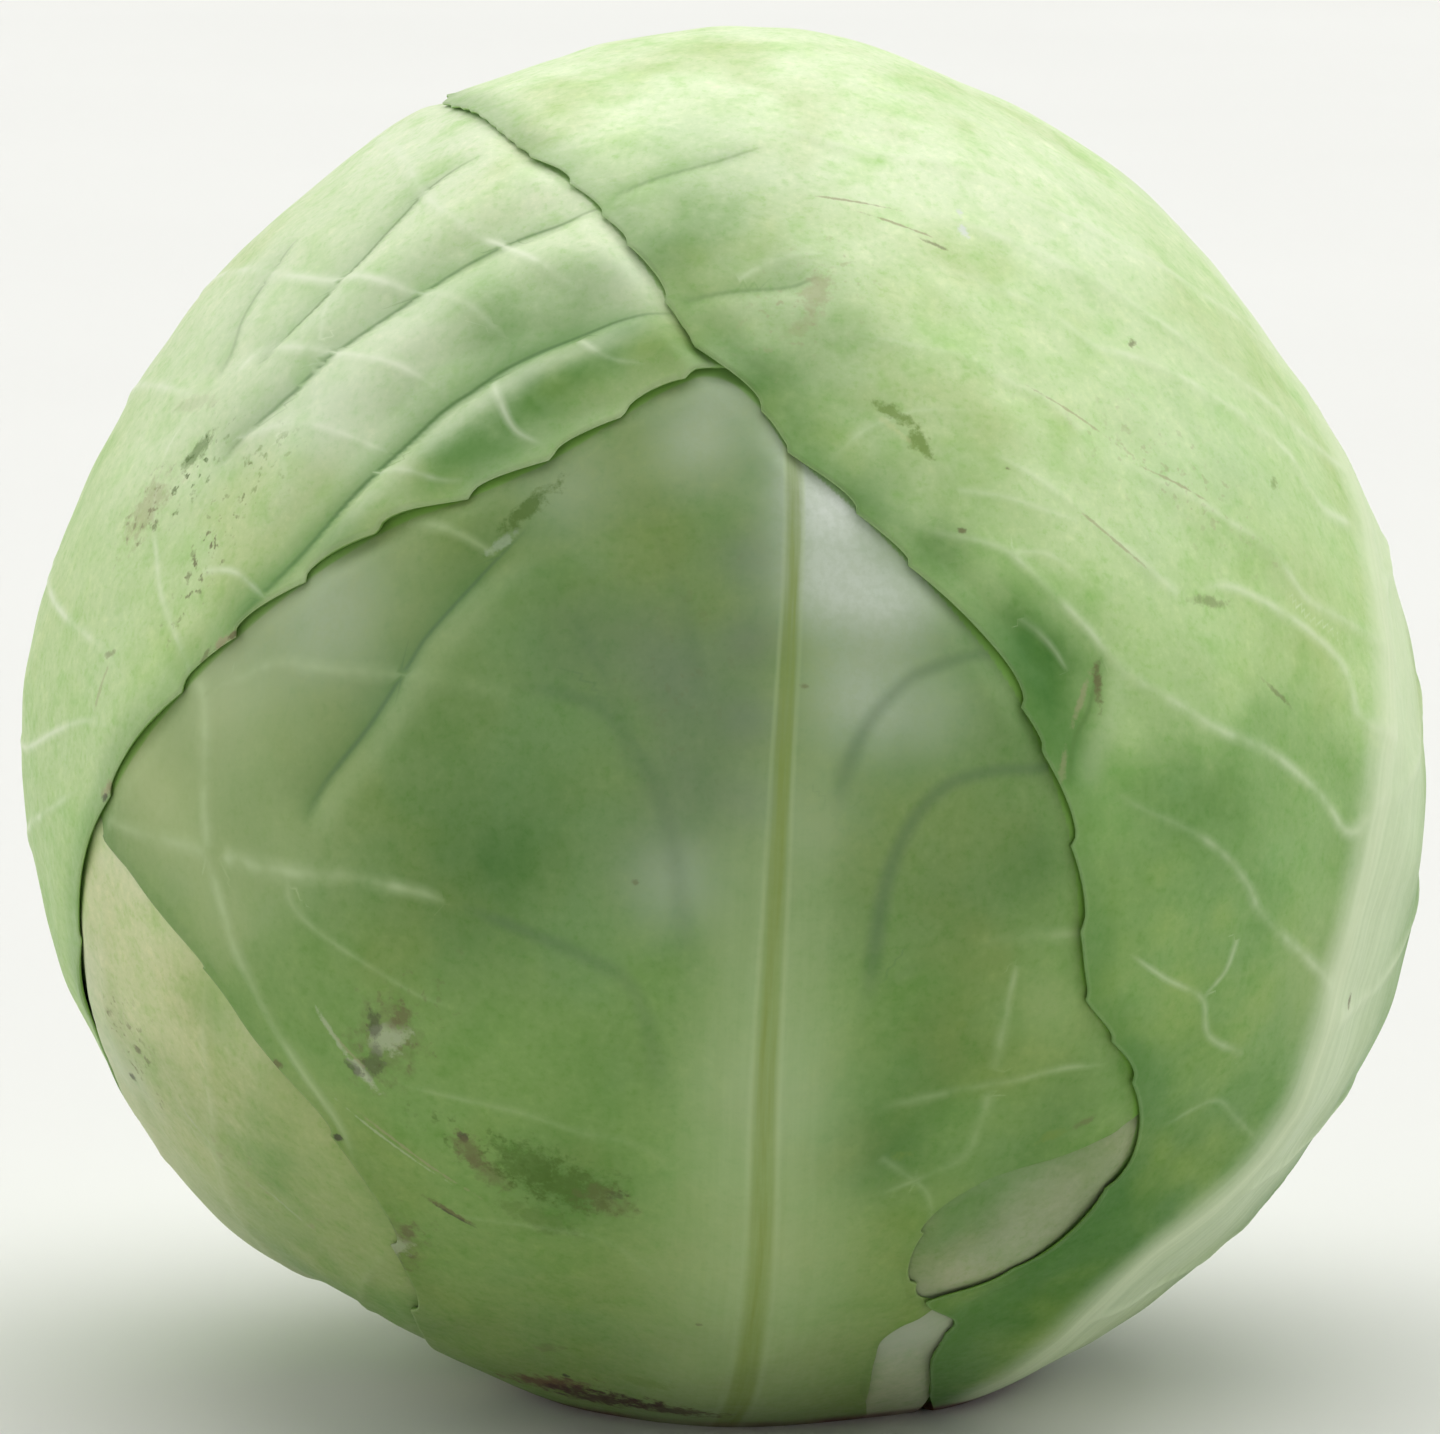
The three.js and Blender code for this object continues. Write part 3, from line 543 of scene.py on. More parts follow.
def turn_between(start, end):
    """Degrees of longitude from one to another, the short way round."""
    return ((end - start) % 360 + 540) % 360 - 180


def slerp(a, b, share):
    """The direction at a share of the way from one direction to another."""
    angle = np.arccos(np.clip((a * b).sum(-1), -1, 1))[..., None]
    share = np.asarray(share)[..., None]
    safe = np.maximum(np.sin(angle), 1e-9)
    return unit(a * np.sin((1 - share) * angle) / safe + b * np.sin(share * angle) / safe
                + (angle < 1e-6) * a)


def pressed_by(k, d):
    """How far the leaves outside number k press directions in, and how openly they can be seen."""
    gap, tuck = (LEAF_GAP, TUCK) if k < OUTER_LEAVES else (INNER_GAP, TUCK_INNER)
    depth, open_share = np.zeros(len(d)), np.ones(len(d))
    for above in leaves[:k]:
        inside, away = above.reach(d)
        covered = above.coverage(d, inside, away, tuck)
        depth += covered * (above.thickness(d, inside, away) + gap)
        open_share *= 1 - covered
    return depth, open_share


# ---------------------------------------------------------------- fine detail on a leaf's face

PUCKER, PUCKER_SIZE = 0.00028, 0.030   # swells of the blade between its veins
RIPPLE, RIPPLE_SIZE = 0.00008, 0.010   # and smaller ones on them
CREASE_LINE = 0.42         # half width of the line of painted shade in a crease, in degrees
VEIN_REACH = 6             # how far from a vein, in degrees, its height is worked out
PLEAT_REACH = 12           # and how far from a crease or a fold
DEEPEST_BITE = 0.0018
SMOOTH_FOOT = (46, 52)     # degrees below the level between which the bites fade out
MIN_BLADE = 0.00035        # what the deepest groove leaves of a blade
BOX_MARGIN = 0.00012       # air kept to the solids' box

leaves = [Leaf(data) for data in LEAVES]


def vein_field(leaf, d):
    """The veins near each direction: strength, light, signed distance and width in mm, height."""
    strength, light, height = np.zeros(len(d)), np.zeros(len(d)), np.zeros(len(d))
    side_mm, width_mm, nearest = np.full(len(d), FAR), np.ones(len(d)), np.full(len(d), FAR)
    to_mm = math.radians(1) * HEAD_RADIUS / MM
    for line, width, top, light_start, light_end in leaf.vein_lines:
        away, share, side = to_line(line, d, VEIN_REACH)
        wide = width * (1.15 - 0.55 * share)
        ends = smooth(share, 0.0, 0.25 if light_start < 0 else 0.05) * (1 - smooth(share, 0.8, 1.0))
        score = away / (wide * np.maximum(ends, 0.05))
        closer = score < nearest
        nearest = np.where(closer, score, nearest)
        strength = np.where(closer, ends * (away < wide * 1.25 + 0.5), strength)
        light = np.where(closer, lerp(light_start, light_end, share), light)
        side_mm = np.where(closer, away * side * to_mm, side_mm)
        width_mm = np.where(closer, wide * to_mm, width_mm)
        spread = wide * 0.9 if top > 0 else 1.0 + wide
        height += top * MM * bell(away, spread) * ends
    fields = {"vein": strength, "vein_light": light, "vein_side": side_mm, "vein_width": width_mm}
    return fields, height


def fine_relief(leaf, k, d):
    """Height of puckers and pleats in metres, the painted shade on a crease's upper slope, and the
    paleness of the ridge below it, partly a pale vein and partly painted light on its crest.
    """
    height = PUCKER * (waves(d, PUCKER_SIZE, 10 + k) - 1.0) + RIPPLE * waves(d, RIPPLE_SIZE, 30 + k)
    shaded_slope, ridge = np.zeros(len(d)), np.zeros(len(d))
    for line, depth, width in leaf.crease_lines:
        away, share, side = to_line(line, d, PLEAT_REACH)
        ends = smooth(share, 0.0, 0.12) * (1 - smooth(share, 0.75, 1.0))
        above = side > 0
        sunk = np.where(above, bell(away, width * 3.4), bell(away, 0.75))
        height -= depth * MM * sunk * ends
        dark = np.where(above, np.exp(-away / (width * 2.4)), bell(away, 0.6))
        shaded_slope = np.maximum(shaded_slope, dark * ends * depth)
        ridge = np.maximum(ridge, ~above * bell(away - 1.9, 1.1) * ends * depth)
    return height * (1 - near_root(d)), shaded_slope, ridge


def within_box(d, plain, extra):
    """Extra height over a plain radius, eased off where it nears the solids' box."""
    reach = np.full(len(d), FAR)
    for axis, middle in enumerate((0, 0, CENTRE_HEIGHT)):
        outward = np.maximum(d[:, axis], 1e-6)
        reach = np.minimum(reach, (cad_high[axis] - middle) / outward)
        if axis < 2:
            inward = np.maximum(-d[:, axis], 1e-6)
            reach = np.minimum(reach, (middle - cad_low[axis]) / inward)
    room = reach - BOX_MARGIN - plain
    eased = room * np.tanh(extra / np.maximum(room, 1e-6))
    return np.where(extra > 0, np.where(room > 1e-6, eased, room), np.minimum(extra, room))


# ---------------------------------------------------------------- building a leaf's mesh

INNER_COLUMNS = np.array([-1, -0.97, -0.9, -0.75, -0.55, -0.35, -0.15, 0,
                          0.15, 0.35, 0.55, 0.75, 0.9, 0.97, 1])
FOOT_RINGS = [0, 0.2, 0.4, 0.6, 0.8, 0.94, 1, 1.015]    # shares of the way out over the flat cut
BRIDGE_RINGS = (0.33, 0.67)                             # and of the way from there to the blade
CUT_LIMITS = (1.5, 34.0)    # the cut's edge is sought from this far off the stem to this angle
CUT_EDGE_MOST = 25          # and never put further out than this, in degrees
HALVINGS = 18               # steps in which it is found
LIP_SWELL = 0.12 * MM       # how far a margin's rounded lip stands out
LEAST_HALF_WIDTH = 0.002    # of a leaf's row, in metres, where its margins meet
FOOT_TO_EDGE = 3            # at the foot no place counts as nearer to a margin than this, in mm


def column_places(count):
    """Columns from one margin at -1 to the other at 1, closer together towards the margins."""
    even = np.linspace(-1, 1, count)
    return even + 0.12 * np.sin(math.pi * even) / math.pi


def cut_edge_angle(k, turns):
    """Half angle of the ring where the outer face leaves the flat cut, for each longitude."""
    inner = np.full(len(turns), ROOT_ANGLE + CUT_LIMITS[0])
    outer = np.full(len(turns), CUT_LIMITS[1])
    for _ in range(HALVINGS):
        middle = (inner + outer) / 2
        d = direction(np.stack([turns, middle - 90], -1))
        depth, open_share = pressed_by(k, d)
        bed = outer_radius(d) - depth
        face = bed + open_share * (full_radius(d) - outer_radius(d) + leaves[k].relief(d))
        flat = face > cut_radius(d)
        inner = np.where(flat, middle, inner)
        outer = np.where(flat, outer, middle)
    return np.minimum(inner, CUT_EDGE_MOST)


def leaf_directions(leaf, k, columns):
    """Grid of directions, and for each the metres along its margin and how near the edge it is.

    The first rows lie on the flat cut and the bridge to the blade; the last number counts them.
    """
    edge = np.abs(columns)
    left = columns < 0
    rib_turn = longitude(leaf.rib_line[0])
    ends = np.where(left, turn_between(rib_turn, leaf.turn_left),
                    turn_between(rib_turn, leaf.turn_right))
    turns = rib_turn + edge * ends
    cut_edge = cut_edge_angle(k, turns)
    rings = [direction(np.stack([turns, lerp(ROOT_ANGLE, cut_edge, s) - 90], -1)) for s in FOOT_RINGS]

    shares = lerp(0.05, 1.0, np.linspace(0, 1, leaf.rows))
    share = np.repeat(shares[:, None], len(columns), 1)
    margin = np.where(left[None, :, None], along(leaf.left_line, share), along(leaf.right_line, share))
    rib = along(leaf.rib_line, share)
    length = np.where(left, line_length(leaf.left_line), line_length(leaf.right_line))
    run = share * length
    inward = unit(rib - margin + 1e-9)
    fade = 1 - smooth(share, 0.94, 1)
    bites = np.where(left, leaf.bite("left", run), leaf.bite("right", run)) / HEAD_RADIUS
    fade = fade * (1 - smooth(-latitude(margin), *SMOOTH_FOOT))
    edge_rows = np.repeat(edge[None], leaf.rows, 0)
    shift = bites * fade * smooth(edge_rows, 0.86, 1)
    grid = unit(slerp(rib, margin, edge_rows) + inward * shift[..., None])

    bridge = [slerp(rings[-1], grid[0], np.full(len(columns), s)) for s in BRIDGE_RINGS]
    all_rows = np.concatenate([np.stack(rings), np.stack(bridge), grid])
    ahead = len(rings) + len(bridge)
    run = np.concatenate([np.zeros((ahead, len(columns))), run])
    edges = np.repeat(edge[None], len(all_rows), 0)
    return all_rows, run, edges, ahead


def leaf_heights(leaf, k, d, run, edge):
    """Radius of a leaf's outer and inner face in each direction, and the fields its skin shows."""
    depth, open_share = pressed_by(k, d)
    wave = 0.5 + 0.5 * np.sin(run / MM * 0.29 + k)
    away_from_root = 1 - near_root(d)
    lifted = leaf.lift * MM * open_share * edge ** 6 * wave * away_from_root
    thickness = leaf.thickness(d, *leaf.reach(d))
    fields, vein_height = vein_field(leaf, d)
    # Painted shade on each crease's upper slope, and a paler ridge below it, partly painted light.
    pleats, fields["crease_shade"], fields["ridge"] = fine_relief(leaf, k, d)
    fields["seen"] = open_share
    fine = (pleats + vein_height * away_from_root) * open_share
    bed = outer_radius(d) - depth
    face = bed + open_share * (full_radius(d) - outer_radius(d) + leaf.relief(d))
    face += within_box(d, face, lifted + fine)
    under = bed + lifted - thickness
    face = np.minimum(face, cut_radius(d))
    return np.maximum(face, under + np.minimum(MIN_BLADE, thickness)), under, fields


def place(d, radius):
    """Points this far from the head's centre."""
    points = d * radius[:, None]
    points[:, 2] += CENTRE_HEIGHT
    return points


def grid_faces(index):
    """Quads over a grid of vertex numbers, facing out."""
    a, b = index[:-1, :-1].ravel(), index[:-1, 1:].ravel()
    c, d = index[1:, 1:].ravel(), index[1:, :-1].ravel()
    return np.stack([a, b, c, d], -1)


def stitch(first, second):
    """Triangles between two runs of vertex numbers of different length, from end to end."""
    faces, i, j = [], 0, 0
    while i < len(first) - 1 or j < len(second) - 1:
        ahead = (i + 1) / max(len(first) - 1, 1) <= (j + 1) / max(len(second) - 1, 1)
        if j == len(second) - 1 or (ahead and i < len(first) - 1):
            faces.append((first[i], first[i + 1], second[j]))
            i += 1
        else:
            faces.append((first[i], second[j + 1], second[j]))
            j += 1
    return faces


def new_mesh(name, points, faces):
    """A smooth-shaded object with a mesh of its own."""
    mesh = bpy.data.meshes.new(name)
    mesh.from_pydata(points.tolist(), [], faces)
    mesh.validate()
    mesh.shade_smooth()
    piece = bpy.data.objects.new(name, mesh)
    bpy.context.scene.collection.objects.link(piece)
    return piece


FIELD_RESTS = {"rib": 60}   # on a leaf's inner face and lips, which are far from its midrib


def add_fields(piece, fields):
    """Gives the first vertices of a piece a value of each field, and all others that field's rest."""
    for name, values in fields.items():
        padded = np.full(len(piece.data.vertices), FIELD_RESTS.get(name, 0), np.float32)
        padded[:len(values)] = values
        field = piece.data.attributes.new(name, "FLOAT", "POINT")
        field.data.foreach_set("value", padded)


def vertex_numbers(start, shape):
    """Vertex numbers of a grid of rows, of which the last has drawn together at the tip."""
    index = start + np.arange(shape[0] * shape[1]).reshape(shape)
    index[-1] = index[-1, 0]
    return index


def lip(d, column, upper, lower):
    """A rounded lip halfway between both faces of a leaf, along one margin."""
    out = d[:, column] - d[:, 2 if column == 0 else -3]
    out = out / np.maximum(np.linalg.norm(out, axis=-1, keepdims=True), 1e-9)
    share = np.linspace(0, 1, len(d))[:, None]
    swell = LIP_SWELL * smooth(share, 0.06, 0.12) * (1 - smooth(share, 0.97, 1))
    return (upper[:, column] + lower[:, column]) / 2 + out * swell


def leaf_faces(outer, inner, left_lip, right_lip):
    """Faces over a leaf's two grids of vertex numbers, its two lips and its root, facing out."""
    faces = grid_faces(outer).tolist()
    faces += [quad[::-1] for quad in grid_faces(inner).tolist()]
    for column, lip_line, order in ((0, left_lip, 1), (-1, right_lip, -1)):
        for i in range(len(outer) - 1):
            for a, b in ((outer[:, column], lip_line), (lip_line, inner[:, column])):
                quad = (a[i], a[i + 1], b[i + 1], b[i])
                faces.append([int(v) for v in quad[::order]])
    root_inner = [left_lip[0], *inner[0], right_lip[0]]
    faces += [[int(v) for v in face[::-1]] for face in stitch(list(outer[0]), root_inner)]
    faces = [tuple(dict.fromkeys(face)) for face in faces]
    return [face for face in faces if len(face) > 2]


def painted(leaf, d):
    """The broad patches of colour on a leaf, from PAINT, as fields."""
    fields = {}
    for name in ("deep", "bloom_and_highlight", "painted_shade", "pale"):
        fields[name] = np.zeros(len(d))
        for lon, lat, spread, amount in PAINT[leaf.name].get(name, []):
            fields[name] += amount * bell(angle_between(d, direction((lon, lat))), spread)
    return fields


def build_leaf(k):
    """A leaf's skin: its outer face in fine relief, a coarser inner face and a lip round them."""
    leaf = leaves[k]
    d, run, edge, ahead = leaf_directions(leaf, k, column_places(leaf.columns))
    flat = d.reshape(-1, 3)
    top, _, fields = leaf_heights(leaf, k, flat, run.ravel(), edge.ravel())
    lower, lower_run, lower_edge, _ = leaf_directions(leaf, k, INNER_COLUMNS)
    lower_flat = lower.reshape(-1, 3)
    _, bottom, _ = leaf_heights(leaf, k, lower_flat, lower_run.ravel(), lower_edge.ravel())

    upper_points, lower_points = place(flat, top), place(lower_flat, bottom)
    faces_apart = upper_points.reshape(d.shape), lower_points.reshape(lower.shape)
    points = np.vstack([upper_points, lower_points, lip(d, 0, *faces_apart), lip(d, -1, *faces_apart)])
    outer = vertex_numbers(0, d.shape[:2])
    inner = vertex_numbers(outer.size, lower.shape[:2])
    left_lip = outer.size + inner.size + np.arange(len(d))
    right_lip = left_lip + len(d)
    for tip in (left_lip[-1], right_lip[-1]):
        points[tip] = (points[outer[-1, 0]] + points[inner[-1, 0]]) / 2
    left_lip[-1] = right_lip[-1]
    piece = new_mesh(leaf.name + "_skin", points, leaf_faces(outer, inner, left_lip, right_lip))

    middle = d[:, d.shape[1] // 2]
    half_width = angle_between(d[:, 0], middle)[:, None] / 180 * math.pi * HEAD_RADIUS
    to_edge = (1 - edge) * np.maximum(half_width, LEAST_HALF_WIDTH) / MM
    to_edge[:ahead] = np.maximum(to_edge[:ahead], FOOT_TO_EDGE)
    fields["to_edge"] = to_edge.ravel()
    rib_away, fields["rib_share"], rib_side = to_line(leaf.rib_line[THIN], flat)
    fields["rib"] = rib_away * rib_side
    fields.update(painted(leaf, flat))
    add_fields(piece, fields)
    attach(piece, "root")
    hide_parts(leaf.name)
    return piece


# Broad patches of colour on the leaves: (longitude, latitude, spread in degrees, amount).
# deep is darker green, partly painted shade on parts turned from the light; bloom is whitish wax,
# and right of the front leaf's midrib also a painted highlight; dusk is painted shade, greyish,
# mostly along the left of the front leaf's midrib; pale is bare yellowish white.
PAINT = {
    "front_leaf": {
        "deep": [(-18, 0, 7, 0.6), (-21, -6, 5, 0.3), (-24, 12, 5, 0.15), (17, -17, 5, 0.6),
                 (13, -26, 5, 0.7), (-14, -29, 5, 0.6), (29, -22, 4, 0.4), (24, -2, 4, 0.5),
                 (-30, -14, 7, 0.1), (-17, 23, 5, 0.2), (26, -28, 4, 0.4), (24, 8, 4, 0.3),
                 (18, -6, 4, 0.3), (-13, 15, 4, 0.2), (-21, 21, 4, 0.15), (-9, -18, 5, 0.2)],
        "bloom_and_highlight": [(9.2, 27, 4.2, 1.15), (7, 33, 3, 0.6), (8, 20, 4, 0.7), (14, 19, 4, 0.75),
                  (-3, 32, 4, 0.35), (0, 37, 3.5, 0.3), (10, 11, 4.5, 0.5), (16, 10, 4, 0.25),
                  (-14, 28, 4, 0.2), (-34, 17, 6, 0.3), (-44, 14, 8, 0.2),
                  (4, -20, 5, 0.15), (7, 2, 4, 0.15), (-4, -3, 4, 0.3)],
        "painted_shade": [(1.9, 22, 2.6, 0.35), (1.8, 15.6, 2.6, 0.45), (1.7, 9.4, 2.6, 0.45),
                 (1.7, 3.4, 2.6, 0.3), (-3.7, 12, 4, 0.4), (-3, 5, 4, 0.35), (-6, 16, 4, 0.25),
                 (-5, -1, 4, 0.2), (-12, 15, 4, 0.2)],
        "pale": [(3, -35, 7, 0.1), (-49, -1, 6, 0.45), (-43, -8, 5, 0.3), (-42, 20, 5, 0.2),
                 (-38, -22, 4, 0.15), (-55, 4, 5, 0.4), (26, -14, 3, 0.2), (-45, 9, 5, 0.35),
                 (-28, 17, 8, 0.12), (-37, 6, 7, 0.2), (-36, -3, 5, 0.2)],
    },
    "right_leaf": {
        "deep": [(25.5, 12, 4, 0.75), (27, 7, 3.5, 0.5), (23, 17, 4, 0.6), (29, 14, 4, 0.3),
                 (34, -34, 6, 0.95), (42, -30, 6, 0.7), (12, 27, 3.5, 0.6), (18, 22.5, 3, 0.65),
                 (7, 32, 3.5, 0.5), (3, 37, 3.5, 0.7), (-1, 42.5, 3.5, 0.45), (37, -20, 5, 0.35),
                 (36, -44, 6, 0.7), (44, -42, 6, 0.4), (10, 44, 6, 0.3), (-8, 49, 3.5, 0.4),
                 (37, 2, 5, 0.4), (43, 0, 5, 0.3), (33, -8, 4, 0.2), (10, 39, 5, 0.2),
                 (0, 51, 6, 0.35), (-9, 56, 5, 0.25), (4, 59, 7, 0.2), (15, 34, 6, 0.25),
                 (21, 28, 5, 0.2), (40, 10, 5, 0.2)],
        "bloom_and_highlight": [(60, 40, 20, 0.15)],
        "pale": [(58, 16, 6, 0.25), (56, -14, 6, 0.25)],
    },
    "left_leaf": {
        "deep": [(-13, 38.5, 3.5, 0.8), (-18, 36, 3.5, 0.8), (-22, 32, 4, 0.7), (-8, 41, 3.5, 0.7),
                 (-27, 29, 3.5, 0.6), (-3, 41, 3, 0.6), (-34, 23, 3, 0.45), (-44, 14, 4, 0.35),
                 (-17, 45, 4, 0.55), (-25, 41, 4, 0.55), (-28, 46, 4, 0.25), (-38, 47, 4, 0.2),
                 (-32, 35, 3.5, 0.3)],
        "bloom_and_highlight": [(-10, 49, 4, 0.35), (-34, 40, 4, 0.25), (-40, 33, 5, 0.3), (-60, 40, 14, 0.2)],
        "painted_shade": [(-50, 30, 8, 0.1)],
    },
    "back_leaf": {"deep": [(100, -10, 8, 0.4), (160, -20, 10, 0.4)], "bloom_and_highlight": [(141, 20, 14, 0.3)]},
    "inner_left_leaf": {
        "deep": [(-42, -27, 6, 0.9), (-38, -36, 6, 1.0), (-39, -45, 7, 1.0), (-48, -34, 6, 0.6),
                 (-58, -48, 9, 0.8), (-47, -16, 4, 0.5)],
        "bloom_and_highlight": [(-72, -14, 5, 0.6), (-68, -24, 5, 0.4)], "pale": [(-62, -36, 6, 0.3)],
    },
    "inner_right_leaf": {
        "deep": [(20.5, -33, 4, 0.9), (25, -29, 3.5, 0.8), (29.5, -26, 2.5, 0.6), (18, -38, 3, 0.8),
                 (17, -44, 4, 0.5)],
        "bloom_and_highlight": [(21, -48, 5, 0.45)], "pale": [(31, -32, 4, 0.1)],
    },
}


# ---------------------------------------------------------------- the heart and the stem

def build_heart():
    """The tightly packed inner leaves: a body with a cone-shaped socket for the stem."""
    rings, turns = 60, 120
    longitudes = np.arange(turns) * 360 / turns
    angles = lerp(ROOT_ANGLE, 179.5, np.linspace(0, 1, rings))
    rows = [direction(np.stack([longitudes, np.full(turns, a - 90)], -1)) for a in angles]
    socket_depth = (CENTRE_HEIGHT - STEM_TOP) / math.cos(math.radians(ROOT_ANGLE))
    points = [place(rows[0], np.full(turns, socket_depth))]
    for row in rows:
        depth = pressed_by(len(leaves), row)[0]
        points.append(place(row, outer_radius(row) - depth - HEART_GAP))
    points = np.vstack([*points, [[0, 0, STEM_TOP + 2 * MM]]])
    index = np.arange((rings + 1) * turns).reshape(rings + 1, turns)
    index = np.hstack([index, index[:, :1]])
    faces = grid_faces(index).tolist()
    socket_tip = len(points) - 1
    faces += [[socket_tip, index[0, i + 1], index[0, i]] for i in range(turns)]
    faces.append(index[-1, :-1].tolist())
    piece = new_mesh("heart_skin", points, faces)
    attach(piece, "root")
    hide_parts("heart")
    return piece


def build_stem():
    """The cone of the stem, cut flat by a knife: its face has fine saw-like drag lines."""
    turns, rings = 144, 34
    foot_radius = CENTRE_HEIGHT * math.tan(math.radians(STEM_ANGLE))
    shoulder = STEM_TOP - 4 * MM
    shoulder_radius = (CENTRE_HEIGHT - shoulder) * math.tan(math.radians(STEM_ANGLE))
    profile = [(foot_radius * i / rings, 0.0) for i in range(1, rings + 1)]
    profile += [(lerp(foot_radius, shoulder_radius, s), shoulder * s) for s in np.linspace(0.02, 1, 24)]
    profile += [(shoulder_radius * 0.6, shoulder + 2 * MM)]
    angle = np.linspace(0, 2 * math.pi, turns, endpoint=False)
    points = [[0, 0, knife_mark(np.zeros(1), np.zeros(1))[0]]]
    for radius, z in profile:
        x, y = radius * np.cos(angle), radius * np.sin(angle)
        level = np.full(turns, z) if z > 0 else knife_mark(x, y)
        points.extend(np.stack([x, y, level], -1).tolist())
    points.append([0, 0, shoulder + 2.8 * MM])
    index = 1 + np.arange(len(profile) * turns).reshape(len(profile), turns)
    index = np.hstack([index, index[:, :1]])
    faces = grid_faces(index).tolist()
    faces += [[0, index[0, i + 1], index[0, i]] for i in range(turns)]
    faces += [[len(points) - 1, index[-1, i], index[-1, i + 1]] for i in range(turns)]
    piece = new_mesh("stem_skin", np.array(points), faces)
    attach(piece, "root")
    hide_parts("stem")
    return piece


def knife_mark(x, y):
    """Height of the cut face: the knife left shallow grooves, and none stands below the floor."""
    run = x * 0.94 + y * 0.34
    groove = 0.5 + 0.5 * np.sin(run / (1.7 * MM) * 2 * math.pi + 2 * np.sin(y / (9 * MM)))
    edge = 1 - smooth(np.hypot(x, y), 0.0135, 0.0157)
    return groove * 0.09 * MM * edge


# ---------------------------------------------------------------- materials

class Shade:
    """A material's node tree, with one short call for each kind of node."""

    def __init__(self, name):
        self.material = bpy.data.materials.new(name)
        self.material.use_nodes = True
        self.tree = self.material.node_tree
        self.shader = self.tree.nodes["Principled BSDF"]
        self.object_place = self.node("ShaderNodeTexCoord").outputs["Object"]

    def node(self, kind, **settings):
        made = self.tree.nodes.new(kind)
        for key, value in settings.items():
            setattr(made, key, value)
        return made

    def feed(self, socket, value):
        """Links a socket to another's output, or gives it a plain value."""
        if isinstance(value, bpy.types.NodeSocket):
            self.tree.links.new(value, socket)
        elif value is not None:
            socket.default_value = value

    def math(self, operation, a, b=None, c=None):
        made = self.node("ShaderNodeMath", operation=operation)
        for socket, value in zip(made.inputs, (a, b, c)):
            self.feed(socket, value)
        return made.outputs[0]

    def add(self, *values):
        total = values[0]
        for value in values[1:]:
            total = self.math("ADD", total, value)
        return total

    def times(self, *values):
        total = values[0]
        for value in values[1:]:
            total = self.math("MULTIPLY", total, value)
        return total

    def ramp(self, value, low, high, start=0.0, end=1.0, smoothly=True):
        """From start to end as a value goes from low to high."""
        made = self.node("ShaderNodeMapRange",
                         interpolation_type="SMOOTHSTEP" if smoothly else "LINEAR")
        for socket, number in zip(made.inputs, (value, low, high, start, end)):
            self.feed(socket, number)
        return made.outputs[0]

    def fall(self, value, low, high, start=1.0):
        """From start to nothing as a value goes from low to high."""
        return self.ramp(value, low, high, start, 0.0)

    def mix(self, amount, a, b, how="MIX"):
        made = self.node("ShaderNodeMix", data_type="RGBA", blend_type=how, clamp_factor=True)
        self.feed(made.inputs[0], amount)
        for socket, value in ((made.inputs[6], a), (made.inputs[7], b)):
            self.feed(socket, (*value, 1.0) if isinstance(value, tuple) else value)
        return made.outputs[2]

    def tone(self, colour, by, low, high, amount, other, how="MIX"):
        """A colour drawn towards another, by up to an amount, as a value goes from low to high."""
        return self.mix(self.ramp(by, low, high, 0.0, amount), colour, other, how)

    def field(self, name):
        """One of the fields on a leaf's mesh."""
        return self.node("ShaderNodeAttribute", attribute_name=name).outputs["Fac"]

    def noise(self, size, detail=3.0, roughness=0.55, place_at=None):
        """Noise 0 to 1 whose swells are about this many metres across."""
        made = self.node("ShaderNodeTexNoise")
        self.feed(made.inputs["Vector"], place_at or self.object_place)
        self.feed(made.inputs["Scale"], 1 / size)
        self.feed(made.inputs["Detail"], detail)
        self.feed(made.inputs["Roughness"], roughness)
        return made.outputs["Fac"]

    def net(self, size, place_at):
        """Distance to the nearest edge of a net of cells about this many metres across."""
        made = self.node("ShaderNodeTexVoronoi", feature="DISTANCE_TO_EDGE")
        self.feed(made.inputs["Vector"], place_at)
        self.feed(made.inputs["Scale"], 1 / size)
        return made.outputs["Distance"]

    def warped(self, size, amount):
        """Object coordinates pushed about by noise, so that what is laid on them wanders."""
        made = self.node("ShaderNodeTexNoise")
        self.feed(made.inputs["Vector"], self.object_place)
        self.feed(made.inputs["Scale"], 1 / size)
        self.feed(made.inputs["Detail"], 2.0)
        centred = self.node("ShaderNodeVectorMath", operation="SUBTRACT")
        self.feed(centred.inputs[0], made.outputs["Color"])
        centred.inputs[1].default_value = (0.5, 0.5, 0.5)
        scaled = self.node("ShaderNodeVectorMath", operation="SCALE")
        self.feed(scaled.inputs[0], centred.outputs[0])
        scaled.inputs["Scale"].default_value = amount
        total = self.node("ShaderNodeVectorMath", operation="ADD")
        self.feed(total.inputs[0], self.object_place)
        self.feed(total.inputs[1], scaled.outputs[0])
        return total.outputs[0]

    def gradient(self, value, stops):
        """A colour by a value, from (value, colour) stops."""
        low, high = stops[0][0], stops[-1][0]
        made = self.node("ShaderNodeValToRGB")
        ramp = made.color_ramp
        ramp.interpolation = "EASE"
        while len(ramp.elements) < len(stops):
            ramp.elements.new(0.5)
        for element, (place_on, colour) in zip(ramp.elements, stops):
            element.position = (place_on - low) / (high - low)
            element.color = (*colour, 1.0)
        self.feed(made.inputs[0], self.ramp(value, low, high, 0.0, 1.0, False))
        return made.outputs["Color"]

    def separate(self, vector):
        made = self.node("ShaderNodeSeparateXYZ")
        self.feed(made.inputs[0], vector)
        return made.outputs

